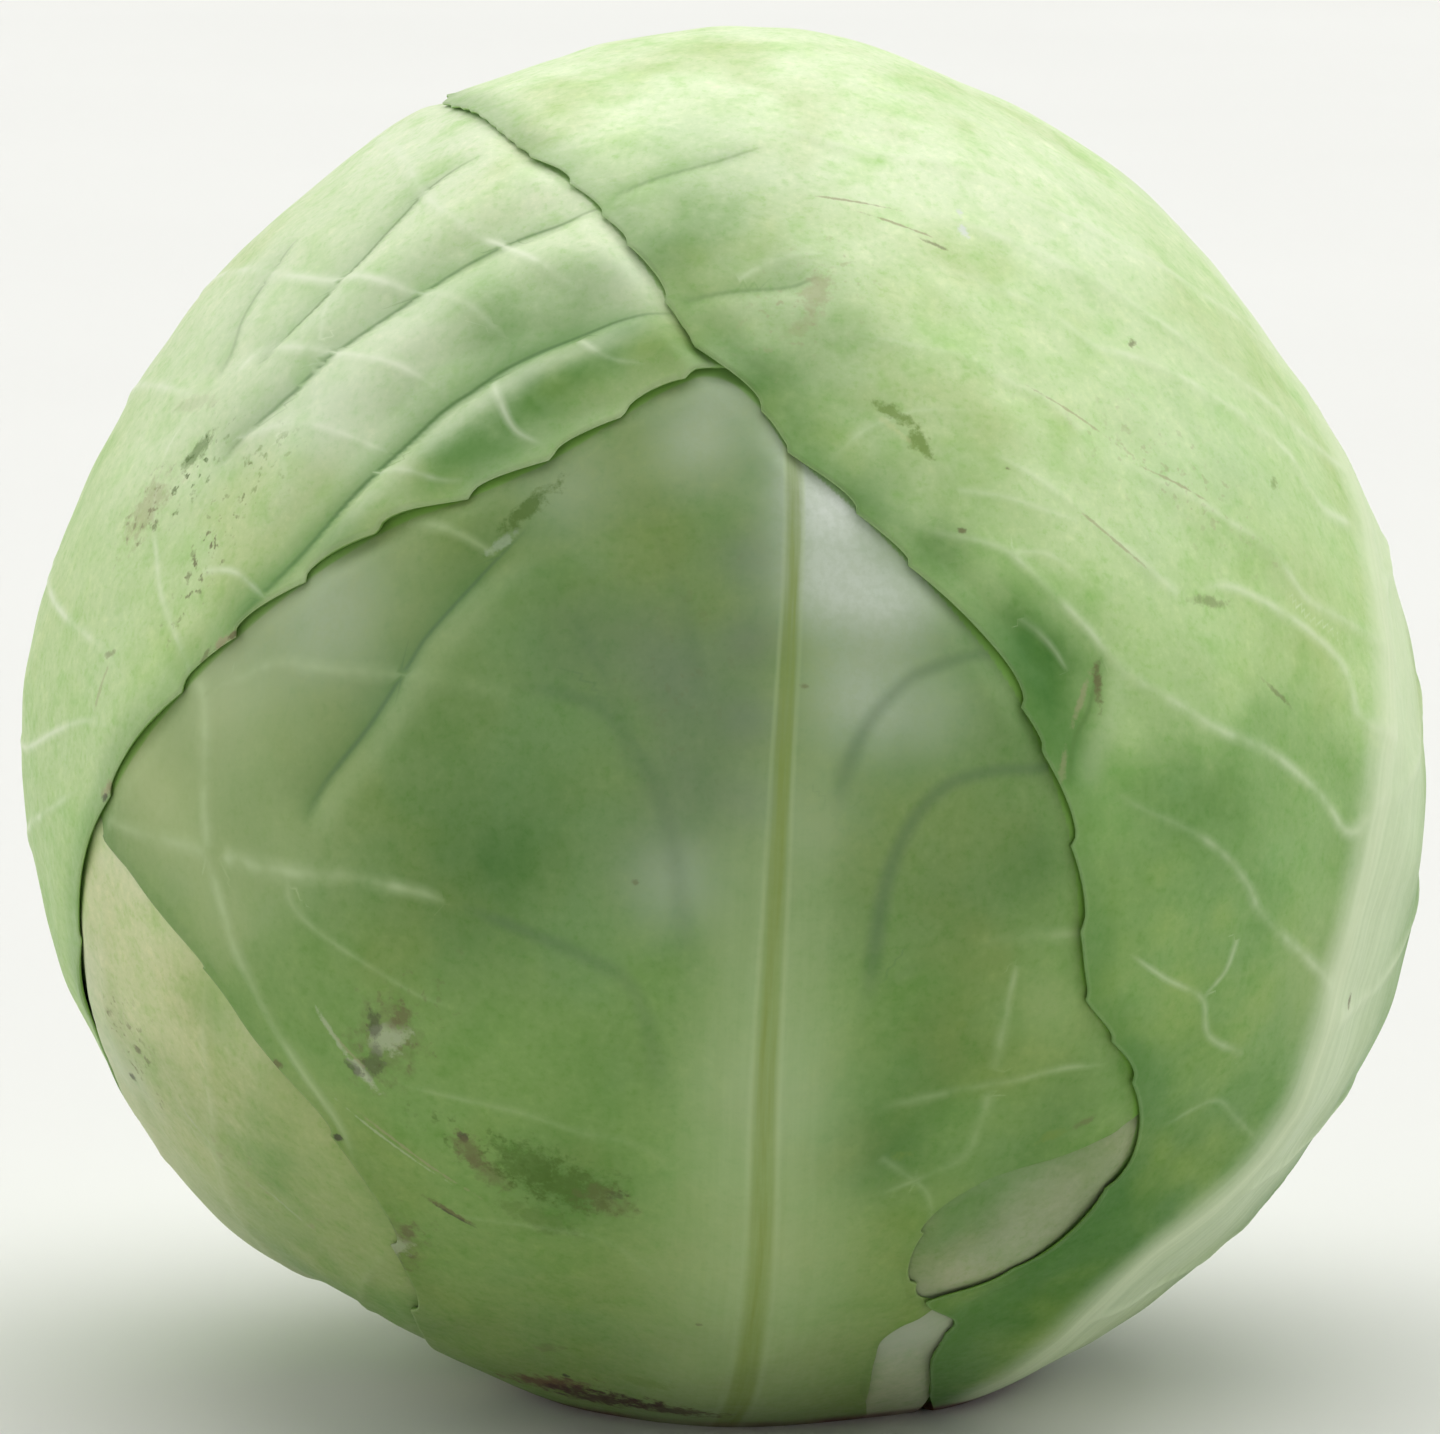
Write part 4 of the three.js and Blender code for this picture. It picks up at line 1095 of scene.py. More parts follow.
    def marked(self, label, ragged, soft):
        """How far one layer of marks covers each place, ragged at the edges, and with what colour."""
        place_on = self.node("ShaderNodeAttribute", attribute_name=label + " place")
        along_mark, across_mark, strength = self.separate(place_on.outputs["Vector"])[:3]
        squares = self.math("MULTIPLY_ADD", across_mark, across_mark,
                            self.math("MULTIPLY", along_mark, along_mark))
        inside = self.fall(self.add(self.math("SQRT", squares), ragged), 1 - soft, 1 + soft)
        tint = self.node("ShaderNodeAttribute", attribute_name=label + " tint")
        return self.times(inside, strength), tint.outputs["Color"]

    def fibres(self):
        """Noise drawn out along the midrib, 0 to 1."""
        joined = self.node("ShaderNodeCombineXYZ")
        self.feed(joined.inputs[0], self.field("rib"))
        self.feed(joined.inputs[1], self.times(self.field("rib_share"), 6.0))
        return self.noise(0.9, 3.0, 0.6, joined.outputs[0])

    def bump(self, height, distance, strength=1.0):
        made = self.node("ShaderNodeBump")
        self.feed(made.inputs["Height"], height)
        made.inputs["Distance"].default_value = distance
        made.inputs["Strength"].default_value = strength
        return made.outputs["Normal"]

    def finish(self, colour, roughness, normal, specular=0.35):
        inputs = self.shader.inputs
        self.feed(inputs["Base Color"], colour)
        self.feed(inputs["Roughness"], roughness)
        self.feed(inputs["Normal"], normal)
        inputs["Specular IOR Level"].default_value = specular
        return self.material


def srgb(red, green, blue):
    """A colour written in the usual 0 to 255, as the light value the shader needs."""
    values = [v / 255 for v in (red, green, blue)]
    return tuple(v / 12.92 if v <= 0.04045 else ((v + 0.055) / 1.055) ** 2.4 for v in values)


# Leaf colours, 0 to 255. blade: colours by height in metres, which warm and cool clouds vary; on most
# leaves they grow lighter towards the top, partly as the leaf's own paler top and partly as painted
# light from above. deep: its darker patches, partly painted shade on parts turned from the light,
# the painted shade on a crease's slope, and its strip beside a margin, which margin says the
# strength of. vein: side veins, as clear as vein_amount says, the pale band along the midrib and
# the pale ridge below a crease, partly painted light. rib: the stripe in the midrib, of strength
# stripe. furrow: dark veins and crease lines, painted shade in their grooves. The band is as wide as
# band says at the foot and at the tip, in degrees, lies band_shift degrees to one side, softens over
# band_edge of its width, ends over band_fade of the midrib's length, and on its far side over
# band_far degrees.
PLAIN_LEAF = dict(
    vein_amount=0.6, stripe=0.5, band=(11.0, 2.4), band_shift=0.0, band_edge=(0.1, 1.3),
    band_amount=0.4, band_far=(-28.0, -26.0), band_fade=(0.9, 1.2))
LEAF_COLOURS = ("deep", "warm", "cool", "vein", "rib", "furrow")
TINTS = {
    "right_leaf": dict(
        blade=[(0.015, (104, 142, 78)), (0.062, (120, 158, 88)), (0.084, (138, 174, 102)),
               (0.104, (179, 208, 141)), (0.14, (200, 222, 167)), (0.172, (224, 239, 199))],
        deep=(66, 116, 34), warm=(158, 180, 84), cool=(148, 190, 132), vein=(222, 234, 200),
        rib=(222, 232, 198), furrow=(84, 118, 52), margin=0.5, vein_amount=0.8, stripe=0.4,
        band=(16.0, 17.0), band_shift=12.5, band_edge=(0.8, 1.06), band_amount=0.68,
        band_far=(-26.0, -7.0), band_fade=(0.6, 1.0)),
    "left_leaf": dict(
        blade=[(0.05, (168, 198, 128)), (0.10, (190, 213, 154)), (0.14, (212, 228, 184)),
               (0.172, (226, 238, 204))],
        deep=(88, 134, 60), warm=(184, 200, 118), cool=(190, 216, 168), vein=(232, 240, 214),
        rib=(222, 232, 198), furrow=(66, 106, 40), margin=0.55, vein_amount=1.0),
    "front_leaf": dict(
        blade=[(0.01, (132, 157, 88)), (0.05, (122, 156, 82)), (0.09, (115, 145, 82)),
               (0.13, (116, 144, 88))],
        deep=(68, 112, 46), warm=(126, 144, 64), cool=(104, 146, 96), vein=(186, 204, 156),
        rib=(126, 145, 60), furrow=(76, 106, 70), margin=0.15, vein_amount=0.85, stripe=0.75,
        band_fade=(0.42, 0.7)),
    "back_leaf": dict(
        blade=[(0.01, (120, 152, 84)), (0.07, (138, 172, 100)), (0.14, (176, 202, 140))],
        deep=(84, 128, 62), warm=(140, 160, 80), cool=(126, 166, 112), vein=(200, 216, 170),
        rib=(200, 212, 168), furrow=(84, 120, 66), margin=0.2),
    "inner_left_leaf": dict(
        blade=[(0.01, (148, 168, 110)), (0.04, (174, 186, 130)), (0.06, (200, 208, 156)),
               (0.09, (212, 218, 178))],
        deep=(122, 156, 84), warm=(186, 190, 132), cool=(204, 208, 180), vein=(214, 220, 184),
        rib=(218, 220, 190), furrow=(120, 140, 90), margin=0.0),
    "inner_right_leaf": dict(
        blade=[(0.01, (180, 190, 154)), (0.03, (138, 150, 114)), (0.05, (144, 158, 116)),
               (0.12, (190, 200, 168))],
        deep=(104, 138, 74), warm=(168, 168, 128), cool=(176, 188, 160), vein=(216, 220, 192),
        rib=(222, 224, 196), furrow=(120, 140, 90), margin=0.0),
}
# whitish wax bloom, also used for a painted highlight right of the front leaf's midrib
WAX_AND_HIGHLIGHT = srgb(216, 224, 214)
# greyish painted shade, mostly along the left of the front leaf's midrib
PAINTED_SHADE = srgb(108, 120, 108)
# dark green painted shade at a seam, where one leaf is tucked under another
SEAM_SHADE = srgb(116, 166, 62)
SWAY = 0.05                  # how far, in metres, mottling moves the blade's colours up and down
GREENER = (0.8, 0.92, 0.7)   # factors, not colours, and so is the next
PALER = (1.14, 1.08, 1.14)
PALE = srgb(196, 206, 150)
GREEN_SPOT_AND_SHADOW = srgb(112, 140, 60)
BROWN = srgb(104, 100, 62)
DARK_SPOT = srgb(58, 56, 40)
DARK_GREEN = srgb(72, 102, 26)
SCAB = srgb(176, 186, 154)
TAN = srgb(158, 152, 116)
CUT = srgb(104, 52, 50)
DRIED = srgb(70, 28, 30)


def leaf_material(leaf, speck_layers=0, mark_layers=0):
    """A leaf's skin, with so many layers of specks and of marks laid on it."""
    tint = {**PLAIN_LEAF, **TINTS[leaf.name]}
    deep, warm, cool, pale_vein, rib_stripe, furrow = (srgb(*tint[name]) for name in LEAF_COLOURS)
    shade = Shade(leaf.name + ("_marked" if mark_layers else "_skin"))
    mottled = shade.noise(0.024, 3.0, 0.5)
    clouds = shade.noise(0.032, 3.0, 0.6)
    patchy = shade.noise(0.009, 3.0, 0.6)
    blotchy = shade.noise(0.0042, 3.0, 0.65)
    grain = shade.noise(0.0012, 3.0, 0.7)

    # The blade: lighter towards the top of the head on most leaves, partly painted light from above,
    # mottled, and darker in broad patches, partly painted shade.
    level = shade.separate(shade.object_place)[2]
    swayed = shade.math("MULTIPLY_ADD", mottled, SWAY, shade.add(level, -SWAY / 2))
    colour = shade.gradient(swayed, [(height, srgb(*value)) for height, value in tint["blade"]])
    patches = shade.times(shade.field("deep"), shade.ramp(patchy, 0.2, 0.7, 0.8, 1.1))
    colour = shade.mix(patches, colour, deep)
    colour = shade.tone(colour, patchy, 0.45, 0.75, 0.9, GREENER, "MULTIPLY")
    colour = shade.tone(colour, clouds, 0.48, 0.7, 0.4, warm)
    colour = shade.tone(colour, clouds, 0.46, 0.28, 0.25, cool)
    colour = shade.tone(colour, blotchy, 0.5, 0.75, 0.8, GREENER, "MULTIPLY")
    colour = shade.tone(colour, blotchy, 0.48, 0.25, 0.8, PALER, "MULTIPLY")
    colour = shade.tone(colour, grain, 0.5, 0.72, 0.7, GREENER, "MULTIPLY")
    colour = shade.tone(colour, grain, 0.5, 0.28, 0.7, PALER, "MULTIPLY")
    colour = shade.mix(shade.field("pale"), colour, PALE)
    # Painted shade on a crease's upper slope, and the pale ridge below it, partly a pale vein and partly
    # painted light on its crest.
    colour = shade.mix(shade.times(shade.field("crease_shade"), 0.95), colour, deep)
    colour = shade.mix(shade.times(shade.field("ridge"), 0.3), colour, pale_vein)

    # Wax bloom, in soft clouds with fine grain; right of the front leaf's midrib it is also a
    # painted highlight.
    bloom_and_highlight = shade.times(shade.field("bloom_and_highlight"), shade.ramp(mottled, 0.2, 0.8, 0.75, 1.05),
                        shade.ramp(grain, 0.3, 0.7, 0.82, 1.0))
    # Painted shade, greyish, mostly along the left of the front leaf's midrib.
    colour = shade.mix(shade.field("painted_shade"), colour, PAINTED_SHADE)
    colour = shade.mix(shade.times(bloom_and_highlight, 0.9), colour, WAX_AND_HIGHLIGHT)

    # The midrib: a pale band along it, with a narrow stripe between two fine lines.
    aside, share, fibres = shade.field("rib"), shade.field("rib_share"), shade.fibres()
    band_aside = shade.math("ABSOLUTE", shade.add(aside, tint["band_shift"]))
    band = shade.math("DIVIDE", band_aside, shade.ramp(share, 0.0, 0.9, *tint["band"]))
    band = shade.times(shade.fall(band, *tint["band_edge"], tint["band_amount"]),
                       shade.ramp(fibres, 0.3, 0.7, 0.84, 1.04),
                       shade.fall(share, *tint["band_fade"]),
                       shade.ramp(aside, *tint["band_far"]))
    colour = shade.mix(band, colour, pale_vein)
    stripe_place = shade.math("DIVIDE", shade.math("ABSOLUTE", aside),
                              shade.ramp(share, 0.0, 0.9, 1.1, 0.6))
    line_place = shade.math("ABSOLUTE", shade.add(stripe_place, -1.15))
    streaks = shade.ramp(fibres, 0.3, 0.7, 0.5, 1.1)
    stripe = shade.times(shade.fall(stripe_place, 0.3, 1.5, tint["stripe"]), streaks)
    lines = shade.times(shade.fall(line_place, 0.0, 0.45, tint["stripe"] * 0.35), streaks)
    colour = shade.mix(stripe, colour, rib_stripe)
    colour = shade.mix(lines, colour, pale_vein)

    # Side veins: white where they carry light, dark and sunken near the midrib, the dark being
    # painted shade in their grooves, as is the line of each crease.
    place_across = shade.math("DIVIDE", shade.math("ABSOLUTE", shade.field("vein_side")),
                              shade.field("vein_width"))
    light, clear = shade.field("vein_light"), shade.field("vein")
    broken = shade.ramp(shade.noise(0.007, 2.0, 0.6), 0.36, 0.62, 0.3, 1.0)
    core_and_halo = shade.add(shade.fall(place_across, 0.0, 0.7, 0.22),
                              shade.fall(place_across, 0.0, 1.6, 0.6))
    white = shade.times(core_and_halo, clear, shade.math("MAXIMUM", light, 0.0), broken,
                        tint["vein_amount"])
    dark = shade.times(shade.fall(place_across, 0.0, 1.0), clear,
                       shade.math("MAXIMUM", shade.times(light, -0.62), 0.0))
    colour = shade.mix(white, colour, pale_vein)
    colour = shade.mix(dark, colour, furrow)

    # The strip beside a margin is greener, and its rim thin and bright: partly a paler rim, partly
    # a painted highlight where light catches the edge.
    to_edge = shade.field("to_edge")
    near = shade.times(shade.fall(to_edge, 0.4, 7.5, tint["margin"]),
                       shade.ramp(mottled, 0.3, 0.7, 0.7, 1.1))
    colour = shade.mix(near, colour, deep)
    colour = shade.mix(shade.fall(to_edge, 0.1, 0.6, 0.06), colour, pale_vein)

    # Painted shade: where a covered strip is tucked under the leaf above, at a seam, it is painted
    # dark green.
    colour = shade.mix(shade.fall(shade.field("seen"), 0.0, 0.07, 0.7), colour, SEAM_SHADE)

    colour = add_blemishes(shade, colour, speck_layers, mark_layers)

    # The trimmed foot has dried reddish brown along its rim.
    cut = shade.fall(level, 0.0004, 0.0020)
    colour = shade.mix(shade.times(cut, shade.ramp(mottled, 0.35, 0.6, 0.35, 1.0)), colour, CUT)

    roughness = shade.add(shade.ramp(grain, 0.2, 0.8, 0.44, 0.58), shade.times(bloom_and_highlight, 0.12))
    ridges = shade.add(shade.times(grain, 0.08), shade.times(patchy, 0.5))
    return shade.finish(colour, roughness, shade.bump(ridges, 0.00022, 0.7))


# Marks on the leaves: (longitude, latitude), length, width in mm, turn in degrees, colour, strength.
BLEMISHES = {
    "right_leaf": [
        # A scar on the right leaf: a pale ridge, with the painted shadow beside it in green.
        ((16.2, 34.4), 4.6, 1.5, -35, GREEN_SPOT_AND_SHADOW, 0.8), ((18.2, 31.6), 3.2, 1.9, -65, GREEN_SPOT_AND_SHADOW, 0.85),
        ((15.9, 33.0), 3.5, 0.8, -50, PALE, 0.5),
        ((34.0, 54.4), 1.6, 0.8, 70, WAX_AND_HIGHLIGHT, 0.8), ((33.0, 52.4), 1.8, 1.1, 80, WAX_AND_HIGHLIGHT, 0.9),
        ((48.5, 39.7), 1.3, 0.9, 20, BROWN, 0.7), ((44.4, 16.7), 5.0, 1.2, -10, BROWN, 0.45),
        ((59.0, 25.3), 1.8, 1.2, 40, GREEN_SPOT_AND_SHADOW, 0.6),
        ((30.9, 11.3), 4.6, 1.0, 83, BROWN, 0.8), ((29.0, 9.8), 5.5, 0.7, 60, TAN, 0.5),
        ((26.8, 5.2), 3.0, 0.9, 75, TAN, 0.4),
        ((63.0, -17.5), 1.6, 1.1, 60, BROWN, 0.8),
        ((10.2, 46.2), 5.5, 3.0, 60, TAN, 0.5), ((7.8, 42.6), 4.5, 2.0, 30, TAN, 0.3),
        ((18.0, 56.2), 8.5, 0.35, -15, TAN, 0.7), ((23.5, 53.4), 7.5, 0.35, -30, TAN, 0.7),
        ((27.6, 51.0), 3.0, 0.5, -35, BROWN, 0.6),
        ((35.0, 33.8), 9.0, 0.35, -40, TAN, 0.6), ((44.3, 26.8), 8.0, 0.35, -32, TAN, 0.6),
        ((35.2, 22.4), 9.5, 0.35, -45, TAN, 0.55), ((50.5, 8.5), 5.0, 0.6, -40, BROWN, 0.5),
        ((20.5, 24.0), 0.9, 0.7, 0, BROWN, 0.8), ((26.0, 29.0), 0.8, 0.5, 0, BROWN, 0.7),
    ],
    "left_leaf": [
        ((-57.0, 28.1), 5.0, 2.2, 50, DARK_GREEN, 0.6), ((-61.0, 22.6), 9.0, 5.0, 60, TAN, 0.45),
        ((-59.4, 10.7), 2.2, 0.9, 20, BROWN, 0.5), ((-44.4, 13.4), 3.4, 1.0, 35, TAN, 0.8),
        ((-43.6, 13.9), 1.6, 0.8, 35, BROWN, 0.8), ((-57.6, 0.3), 2.4, 1.2, 30, TAN, 0.8),
        ((-57.9, -0.4), 1.3, 0.8, 30, DARK_SPOT, 0.7), ((-46.4, 12.0), 2.6, 0.5, 60, BROWN, 0.5),
        ((-62.0, 32.0), 8.0, 2.4, 10, TAN, 0.2), ((-60.0, 8.0), 6.0, 0.5, 70, TAN, 0.4),
    ],
    "front_leaf": [
        ((-28.5, -16.8), 11.0, 7.0, 60, BROWN, 0.3), ((-28.2, -16.6), 5.4, 3.2, 35, SCAB, 0.65),
        ((-31.2, -19.8), 4.2, 1.4, -50, SCAB, 0.8), ((-29.1, -15.2), 3.2, 1.6, 80, DARK_SPOT, 0.6),
        ((-29.8, -18.7), 4.4, 2.4, 65, DARK_SPOT, 0.5), ((-32.0, -19.4), 2.6, 1.2, -40, DARK_SPOT, 0.6),
        ((-26.6, -14.6), 4.0, 2.0, 40, BROWN, 0.7), ((-33.4, -16.5), 5.4, 0.7, -60, SCAB, 0.6),
        ((-35.4, -37.6), 10.0, 6.0, 50, BROWN, 0.3), ((-35.8, -38.0), 5.0, 3.0, 35, SCAB, 0.6),
        ((-37.2, -36.3), 3.2, 1.5, 80, DARK_SPOT, 0.6), ((-33.0, -36.3), 3.6, 1.8, 40, BROWN, 0.7),
        ((-37.4, -40.0), 3.6, 2.0, 60, DARK_SPOT, 0.5),
        ((-23.0, -24.9), 1.3, 1.1, 0, DARK_SPOT, 0.9),
        ((-22.6, -26.4), 5.4, 3.0, -60, BROWN, 0.7), ((-21.6, -28.4), 6.0, 2.6, -45, BROWN, 0.5),
        ((-17.6, -27.6), 8.0, 6.0, -12, DARK_GREEN, 0.65),
        ((-14.0, -29.4), 10.0, 6.0, -15, DARK_GREEN, 0.7),
        ((-11.0, -30.6), 6.0, 4.0, -20, BROWN, 0.45), ((-10.0, -30.2), 2.6, 1.4, 20, DARK_SPOT, 0.35),
        ((-18.0, -33.0), 8.0, 3.4, -25, DARK_GREEN, 0.35),
        ((-26.8, -33.0), 5.8, 0.8, -38, BROWN, 0.85), ((-26.4, -33.5), 5.2, 0.4, -38, DARK_SPOT, 0.6),
        ((-36.0, -26.3), 1.1, 0.8, 0, DARK_SPOT, 0.85), ((-25.0, -57.5), 1.2, 0.8, 0, DARK_SPOT, 0.9),
        ((-40.1, -19.9), 1.3, 0.9, 0, BROWN, 0.8), ((-28.0, -27.4), 13.0, 0.4, -42, TAN, 0.55),
        ((-30.6, -26.0), 11.0, 0.35, -42, SCAB, 0.5), ((-32.2, -17.8), 5.0, 0.4, -50, TAN, 0.5),
        ((-17.6, 26.0), 8.0, 1.9, 48, DARK_GREEN, 0.75), ((-19.6, 23.0), 3.4, 1.2, 40, WAX_AND_HIGHLIGHT, 0.2),
        ((28.4, -24.9), 3.6, 1.3, 25, GREEN_SPOT_AND_SHADOW, 0.7), ((31.4, -24.0), 2.4, 0.9, 20, BROWN, 0.5),
        ((15.1, -26.1), 2.4, 1.3, 20, GREEN_SPOT_AND_SHADOW, 0.6), ((18.7, -14.8), 2.0, 1.2, 0, GREEN_SPOT_AND_SHADOW, 0.4),
        ((-3.0, -44.0), 0.8, 0.7, 0, BROWN, 0.6), ((6.0, 12.0), 0.8, 0.6, 0, BROWN, 0.5),
        ((-7.0, -3.0), 0.7, 0.6, 0, BROWN, 0.5), ((-24.0, -52.0), 4.0, 1.8, 10, BROWN, 0.35),
        ((-12.0, -56.0), 6.0, 2.4, 0, GREEN_SPOT_AND_SHADOW, 0.4),
        ((-31.0, -60.0), 13.0, 3.6, 12, CUT, 0.8), ((-21.5, -62.0), 14.0, 5.0, 4, DRIED, 0.9),
        ((-10.5, -62.4), 12.0, 4.0, -4, DRIED, 0.8), ((-26.0, -60.4), 8.0, 2.6, 8, DRIED, 0.8),
    ],
    "back_leaf": [
        ((128, 20), 4.0, 0.5, 40, TAN, 0.6), ((150, -12), 1.6, 1.1, 0, BROWN, 0.7),
        ((158, 8), 7.0, 0.4, -35, TAN, 0.5), ((120, -20), 3.4, 1.4, 30, GREEN_SPOT_AND_SHADOW, 0.5),
    ],
    "inner_left_leaf": [
        ((-63.8, -18.7), 1.4, 1.1, 0, BROWN, 0.7), ((-61.4, -21.8), 1.5, 1.1, 0, BROWN, 0.75),
        ((-66.0, -25.2), 1.2, 1.2, 0, DARK_SPOT, 0.7), ((-57.0, -28.0), 6.0, 0.5, -60, SCAB, 0.4),
        ((-50.0, -36.0), 7.0, 0.5, -55, SCAB, 0.4),
    ],
    "inner_right_leaf": [((26.0, -50.0), 5.0, 0.6, 60, SCAB, 0.4)],
}


MARK_SPREAD = 2.6            # how far a ragged mark can reach, as a share of its size
MARK_AIR = 0.001             # and this many metres for the size of a face
MARK_DEPTH = 0.008           # a mark's half size into the head, ample for a leaf's curve

# Areas strewn with small specks, written like the marks.
SPECKLED = {
    "left_leaf": [
        ((-56.6, 26.6), 14.0, 6.0, 60, DARK_GREEN, 0.85), ((-49.6, 20.8), 15.0, 5.0, 75, BROWN, 0.85),
        ((-61.0, 22.0), 11.0, 7.0, 60, BROWN, 0.6), ((-46.0, 27.0), 12.0, 8.0, 60, GREEN_SPOT_AND_SHADOW, 0.4)],
    "front_leaf": [
        ((-27.0, -15.5), 14.0, 9.0, 50, BROWN, 0.6), ((-34.0, -37.0), 12.0, 8.0, 50, BROWN, 0.6),
        ((-21.0, -26.5), 16.0, 7.0, -35, DARK_GREEN, 0.6), ((-4, 14), 24.0, 12.0, 85, BROWN, 0.16)],
    "right_leaf": [
        ((9.0, 45.0), 16.0, 9.0, 50, TAN, 0.5), ((46.0, 27.0), 26.0, 12.0, -35, TAN, 0.35)],
    "inner_left_leaf": [
        ((-62.0, -22.0), 16.0, 8.0, 70, BROWN, 0.6), ((-50.0, -34.0), 16.0, 8.0, -50, TAN, 0.5)],
    "back_leaf": [((145, -5), 30.0, 16.0, 30, BROWN, 0.4)],
}


def mark_frame(lon_lat, degrees):
    """A mark's centre, and its directions along, across and outward."""
    d, turn = direction(lon_lat), math.radians(degrees)
    level = unit(np.cross([0.0, 0.0, 1.0], d))
    upright = np.cross(d, level)
    along_mark = level * math.cos(turn) + upright * math.sin(turn)
    centre = d * full_radius(d) + np.array([0, 0, CENTRE_HEIGHT])
    return centre, np.stack([along_mark, np.cross(d, along_mark), d], -1)


def lay_marks(piece, kind, marks):
    """Gives the faces near each mark its colour, and its coordinates and strength.

    A layer holds marks that don't touch, so one set of fields serves them all. Returns the number
    of layers, and which faces have a mark.
    """
    mesh = piece.data
    points, centres = np.empty((len(mesh.vertices), 3)), np.empty((len(mesh.polygons), 3))
    mesh.vertices.foreach_get("co", points.ravel())
    mesh.polygons.foreach_get("center", centres.ravel())
    corner_points, sizes = np.empty(len(mesh.loops), int), np.empty(len(mesh.polygons), int)
    mesh.loops.foreach_get("vertex_index", corner_points)
    mesh.polygons.foreach_get("loop_total", sizes)
    layers = []
    for lon_lat, length, width, turn, tint, strength in marks:
        centre, axes = mark_frame(lon_lat, turn)
        halves = np.array([length / 2 * MM, width / 2 * MM, MARK_DEPTH])
        reach = halves * MARK_SPREAD + MARK_AIR
        near = np.linalg.norm((centres - centre) @ axes / reach, axis=-1) < 1
        level = 0
        for number, (_, _, taken) in enumerate(layers):
            if taken[near].any():
                level = number + 1
        if level == len(layers):
            layers.append((np.zeros((len(corner_points), 3)), np.zeros((len(sizes), 3)),
                           np.zeros(len(sizes), bool)))
        places, tints, taken = layers[level]
        corners = np.repeat(near, sizes)
        places[corners] = (points[corner_points[corners]] - centre) @ axes / halves
        places[corners, 2] = strength
        tints[near], taken[near] = tint, True
    marked = np.zeros(len(sizes), bool)
    for number, (places, tints, taken) in enumerate(layers):
        marked |= taken
        for name, domain, values in (("place", "CORNER", places), ("tint", "FACE", tints)):
            field = mesh.attributes.new(f"{kind} {number} {name}", "FLOAT_VECTOR", domain)
            field.data.foreach_set("vector", np.asarray(values, np.float32).ravel())
    return len(layers), marked


def add_blemishes(shade, colour, speck_layers, mark_layers):
    """A colour with specks strewn over it and marks laid on it."""
    ragged = shade.ramp(shade.noise(0.0016, 3.0, 0.7), 0.3, 0.7, -0.7, 0.7, False)
    specks = shade.ramp(shade.noise(0.0014, 2.0, 0.6), 0.58, 0.68)
    for number in range(speck_layers):
        amount, tint = shade.marked(f"specks {number}", ragged, 0.9)
        colour = shade.mix(shade.times(amount, specks), colour, tint)
    for number in range(mark_layers):
        amount, tint = shade.marked(f"mark {number}", ragged, 0.55)
        colour = shade.mix(amount, colour, tint)
    return colour


def heart_material():
    shade = Shade("heart_skin")
    veined = shade.ramp(shade.net(0.012, shade.warped(0.02, 0.01)), 0.01, 0.08, 1.0, 0.0)
    mottled = shade.noise(0.02, 3.0)
    colour = shade.mix(mottled, srgb(206, 212, 160), srgb(232, 232, 198))
    colour = shade.mix(shade.times(veined, 0.4), colour, srgb(240, 240, 220))
    normal = shade.bump(shade.add(veined, mottled), 0.0003)
    return shade.finish(colour, shade.ramp(mottled, 0.2, 0.8, 0.45, 0.6), normal)


def stem_material():
    shade = Shade("stem_skin")
    x, y, _ = shade.separate(shade.object_place)
    radius = shade.math("SQRT", shade.add(shade.times(x, x), shade.times(y, y)))
    fibre = shade.noise(0.0009, 2.0, 0.7)
    mottled = shade.noise(0.006, 4.0, 0.65)
    wood_ring = shade.ramp(shade.add(radius, shade.times(mottled, 0.002)), 0.0095, 0.0125, 0.0, 1.0)
    colour = shade.mix(mottled, srgb(206, 198, 154), srgb(226, 220, 184))
    colour = shade.mix(shade.times(wood_ring, 0.6), colour, srgb(178, 164, 118))
    dried = shade.times(shade.ramp(mottled, 0.45, 0.7, 0.0, 1.0), 0.6)
    colour = shade.mix(dried, colour, srgb(140, 104, 74))
    rim = shade.ramp(radius, 0.0142, 0.0157, 0.0, 0.75)
    colour = shade.mix(rim, colour, CUT)
    colour = shade.mix(shade.ramp(fibre, 0.5, 0.8, 0.0, 0.35), colour, srgb(150, 128, 90))
    normal = shade.bump(shade.add(fibre, mottled), 0.0004)
    return shade.finish(colour, shade.ramp(fibre, 0.2, 0.8, 0.6, 0.85), normal, 0.2)


# ---------------------------------------------------------------- the object

def dress(piece, *materials):
    for material in materials:
        piece.data.materials.append(material)


# A leaf has a material of its own for the faces with marks, because theirs takes longer to render.
for number, leaf_plan in enumerate(leaves):
    skin = build_leaf(number)
    speck_count, speckled = lay_marks(skin, "specks", SPECKLED.get(leaf_plan.name, []))
    mark_count, marked = lay_marks(skin, "mark", BLEMISHES[leaf_plan.name])
    dress(skin, leaf_material(leaf_plan), leaf_material(leaf_plan, speck_count, mark_count))
    skin.data.polygons.foreach_set("material_index", (speckled | marked).astype(np.int32))
dress(build_heart(), heart_material())
dress(build_stem(), stem_material())


# ---------------------------------------------------------------- floor, light and camera

FLOOR_RADIUS = 30.0
SWEEP_RADIUS = 8.0
WALL_TOP = 16.0


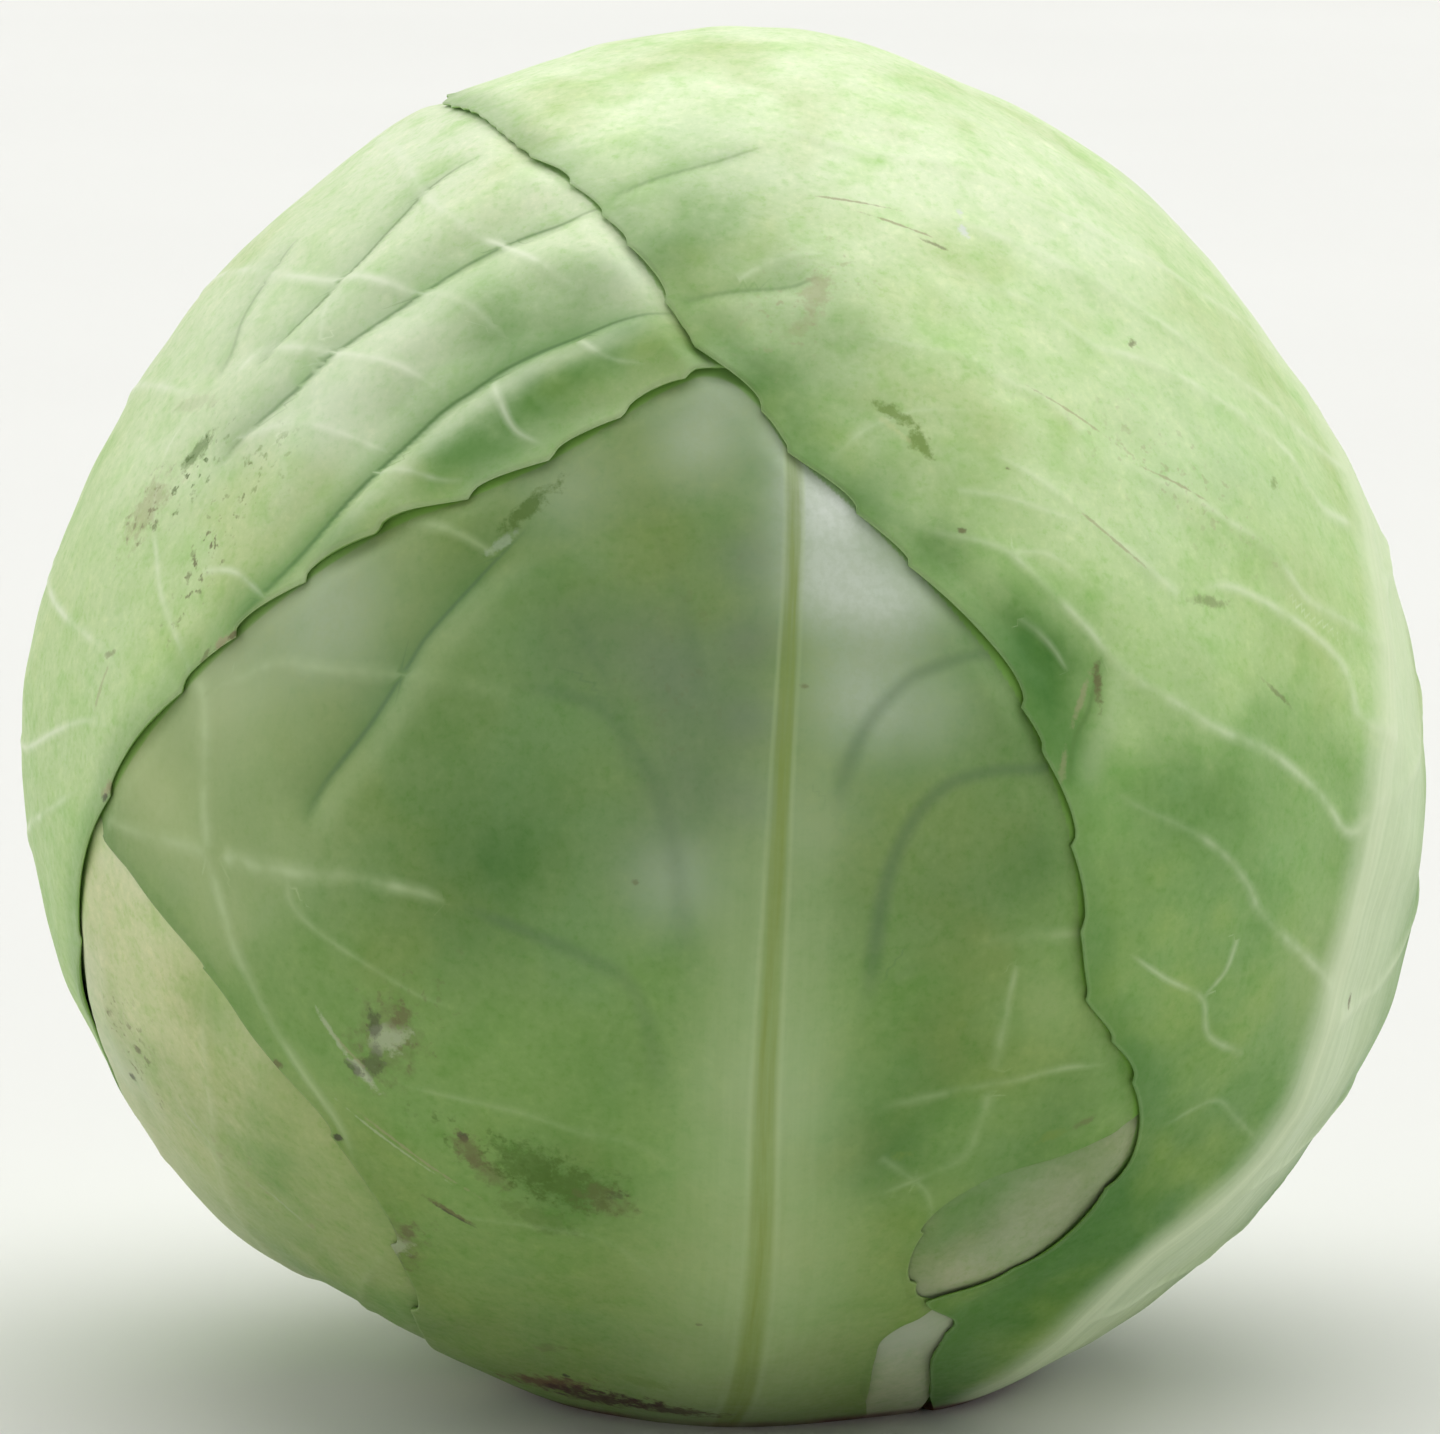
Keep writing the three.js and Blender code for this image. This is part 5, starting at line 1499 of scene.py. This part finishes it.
def build_floor():
    """A pale floor that turns up into a wall all round, far off."""
    profile = [(0.35, 0.0), (2.0, 0.0), (FLOOR_RADIUS, 0.0)]
    for i in range(1, 9):
        a = math.radians(90 * i / 8)
        profile.append((FLOOR_RADIUS + SWEEP_RADIUS * math.sin(a), SWEEP_RADIUS * (1 - math.cos(a))))
    profile.append((FLOOR_RADIUS + SWEEP_RADIUS, WALL_TOP))
    turns = 64
    points = [[0, 0, 0]]
    for radius, z in profile:
        for i in range(turns):
            a = 2 * math.pi * i / turns
            points.append([radius * math.cos(a), radius * math.sin(a), z])
    index = 1 + np.arange(len(profile) * turns).reshape(len(profile), turns)
    index = np.hstack([index, index[:, :1]])
    faces = [q[::-1] for q in grid_faces(index).tolist()]
    faces += [[0, index[0, i], index[0, i + 1]] for i in range(turns)]
    floor = new_mesh("floor", np.array(points), faces)
    shade = Shade("floor")
    tone = shade.noise(0.6, 2.0)
    colour = shade.mix(tone, srgb(222, 222, 220), srgb(227, 227, 225))
    dress(floor, shade.finish(colour, 0.9, None, 0.1))


def add_sun(name, towards, softness, strength, colour):
    """Light from a wide patch of sky; towards is where it stands, seen from the head."""
    data = bpy.data.lights.new(name, "SUN")
    data.angle = math.radians(softness)
    data.energy = strength
    data.color = colour
    lamp = bpy.data.objects.new(name, data)
    bpy.context.scene.collection.objects.link(lamp)
    lamp.location = Vector(towards).normalized() * 2
    lamp.rotation_mode = "QUATERNION"
    lamp.rotation_quaternion = (-Vector(towards)).to_track_quat("-Z", "Y")


def light_studio():
    world = bpy.data.worlds.new("studio")
    bpy.context.scene.world = world
    world.use_nodes = True
    background = world.node_tree.nodes["Background"]
    background.inputs["Color"].default_value = (1.0, 1.0, 1.0, 1.0)
    background.inputs["Strength"].default_value = 0.2
    add_sun("top_light", (0.05, 0.2, 1.0), 70, 2.1, (1.0, 1.0, 0.97))
    add_sun("right_light", (1.0, 0.25, 0.55), 60, 1.5, (1.0, 1.0, 0.98))
    add_sun("left_light", (-1.0, 0.25, 0.5), 60, 1.25, (0.98, 1.0, 1.0))


CAMERA_TILT = 8.0          # degrees below the level
CAMERA_DISTANCE = 1.0
PIXELS_PER_MM = 7.75       # at the head's centre, in the 1440 x 1434 image
HEAD_PIXEL = (727, 737)    # where the head's centre lands in it
IMAGE_SIZE = (1440, 1434)
SENSOR = 36.0


def add_camera():
    tilt = math.radians(CAMERA_TILT)
    forward = Vector((0, math.cos(tilt), -math.sin(tilt)))
    up = Vector((0, math.sin(tilt), math.cos(tilt)))
    right = Vector((1, 0, 0))
    off_x = (HEAD_PIXEL[0] - IMAGE_SIZE[0] / 2) / PIXELS_PER_MM * MM
    off_y = (HEAD_PIXEL[1] - IMAGE_SIZE[1] / 2) / PIXELS_PER_MM * MM
    target = Vector((0, 0, CENTRE_HEIGHT)) - right * off_x + up * off_y
    data = bpy.data.cameras.new("camera")
    data.sensor_width = SENSOR
    data.lens = SENSOR * CAMERA_DISTANCE / MM * PIXELS_PER_MM / IMAGE_SIZE[0]
    data.clip_start, data.clip_end = 0.05, 20
    camera = bpy.data.objects.new("camera", data)
    bpy.context.scene.collection.objects.link(camera)
    camera.location = target - forward * CAMERA_DISTANCE
    camera.rotation_mode = "QUATERNION"
    camera.rotation_quaternion = forward.to_track_quat("-Z", "Y")
    bpy.context.scene.camera = camera


build_floor()
light_studio()
add_camera()
bpy.context.scene.view_settings.view_transform = "Standard"
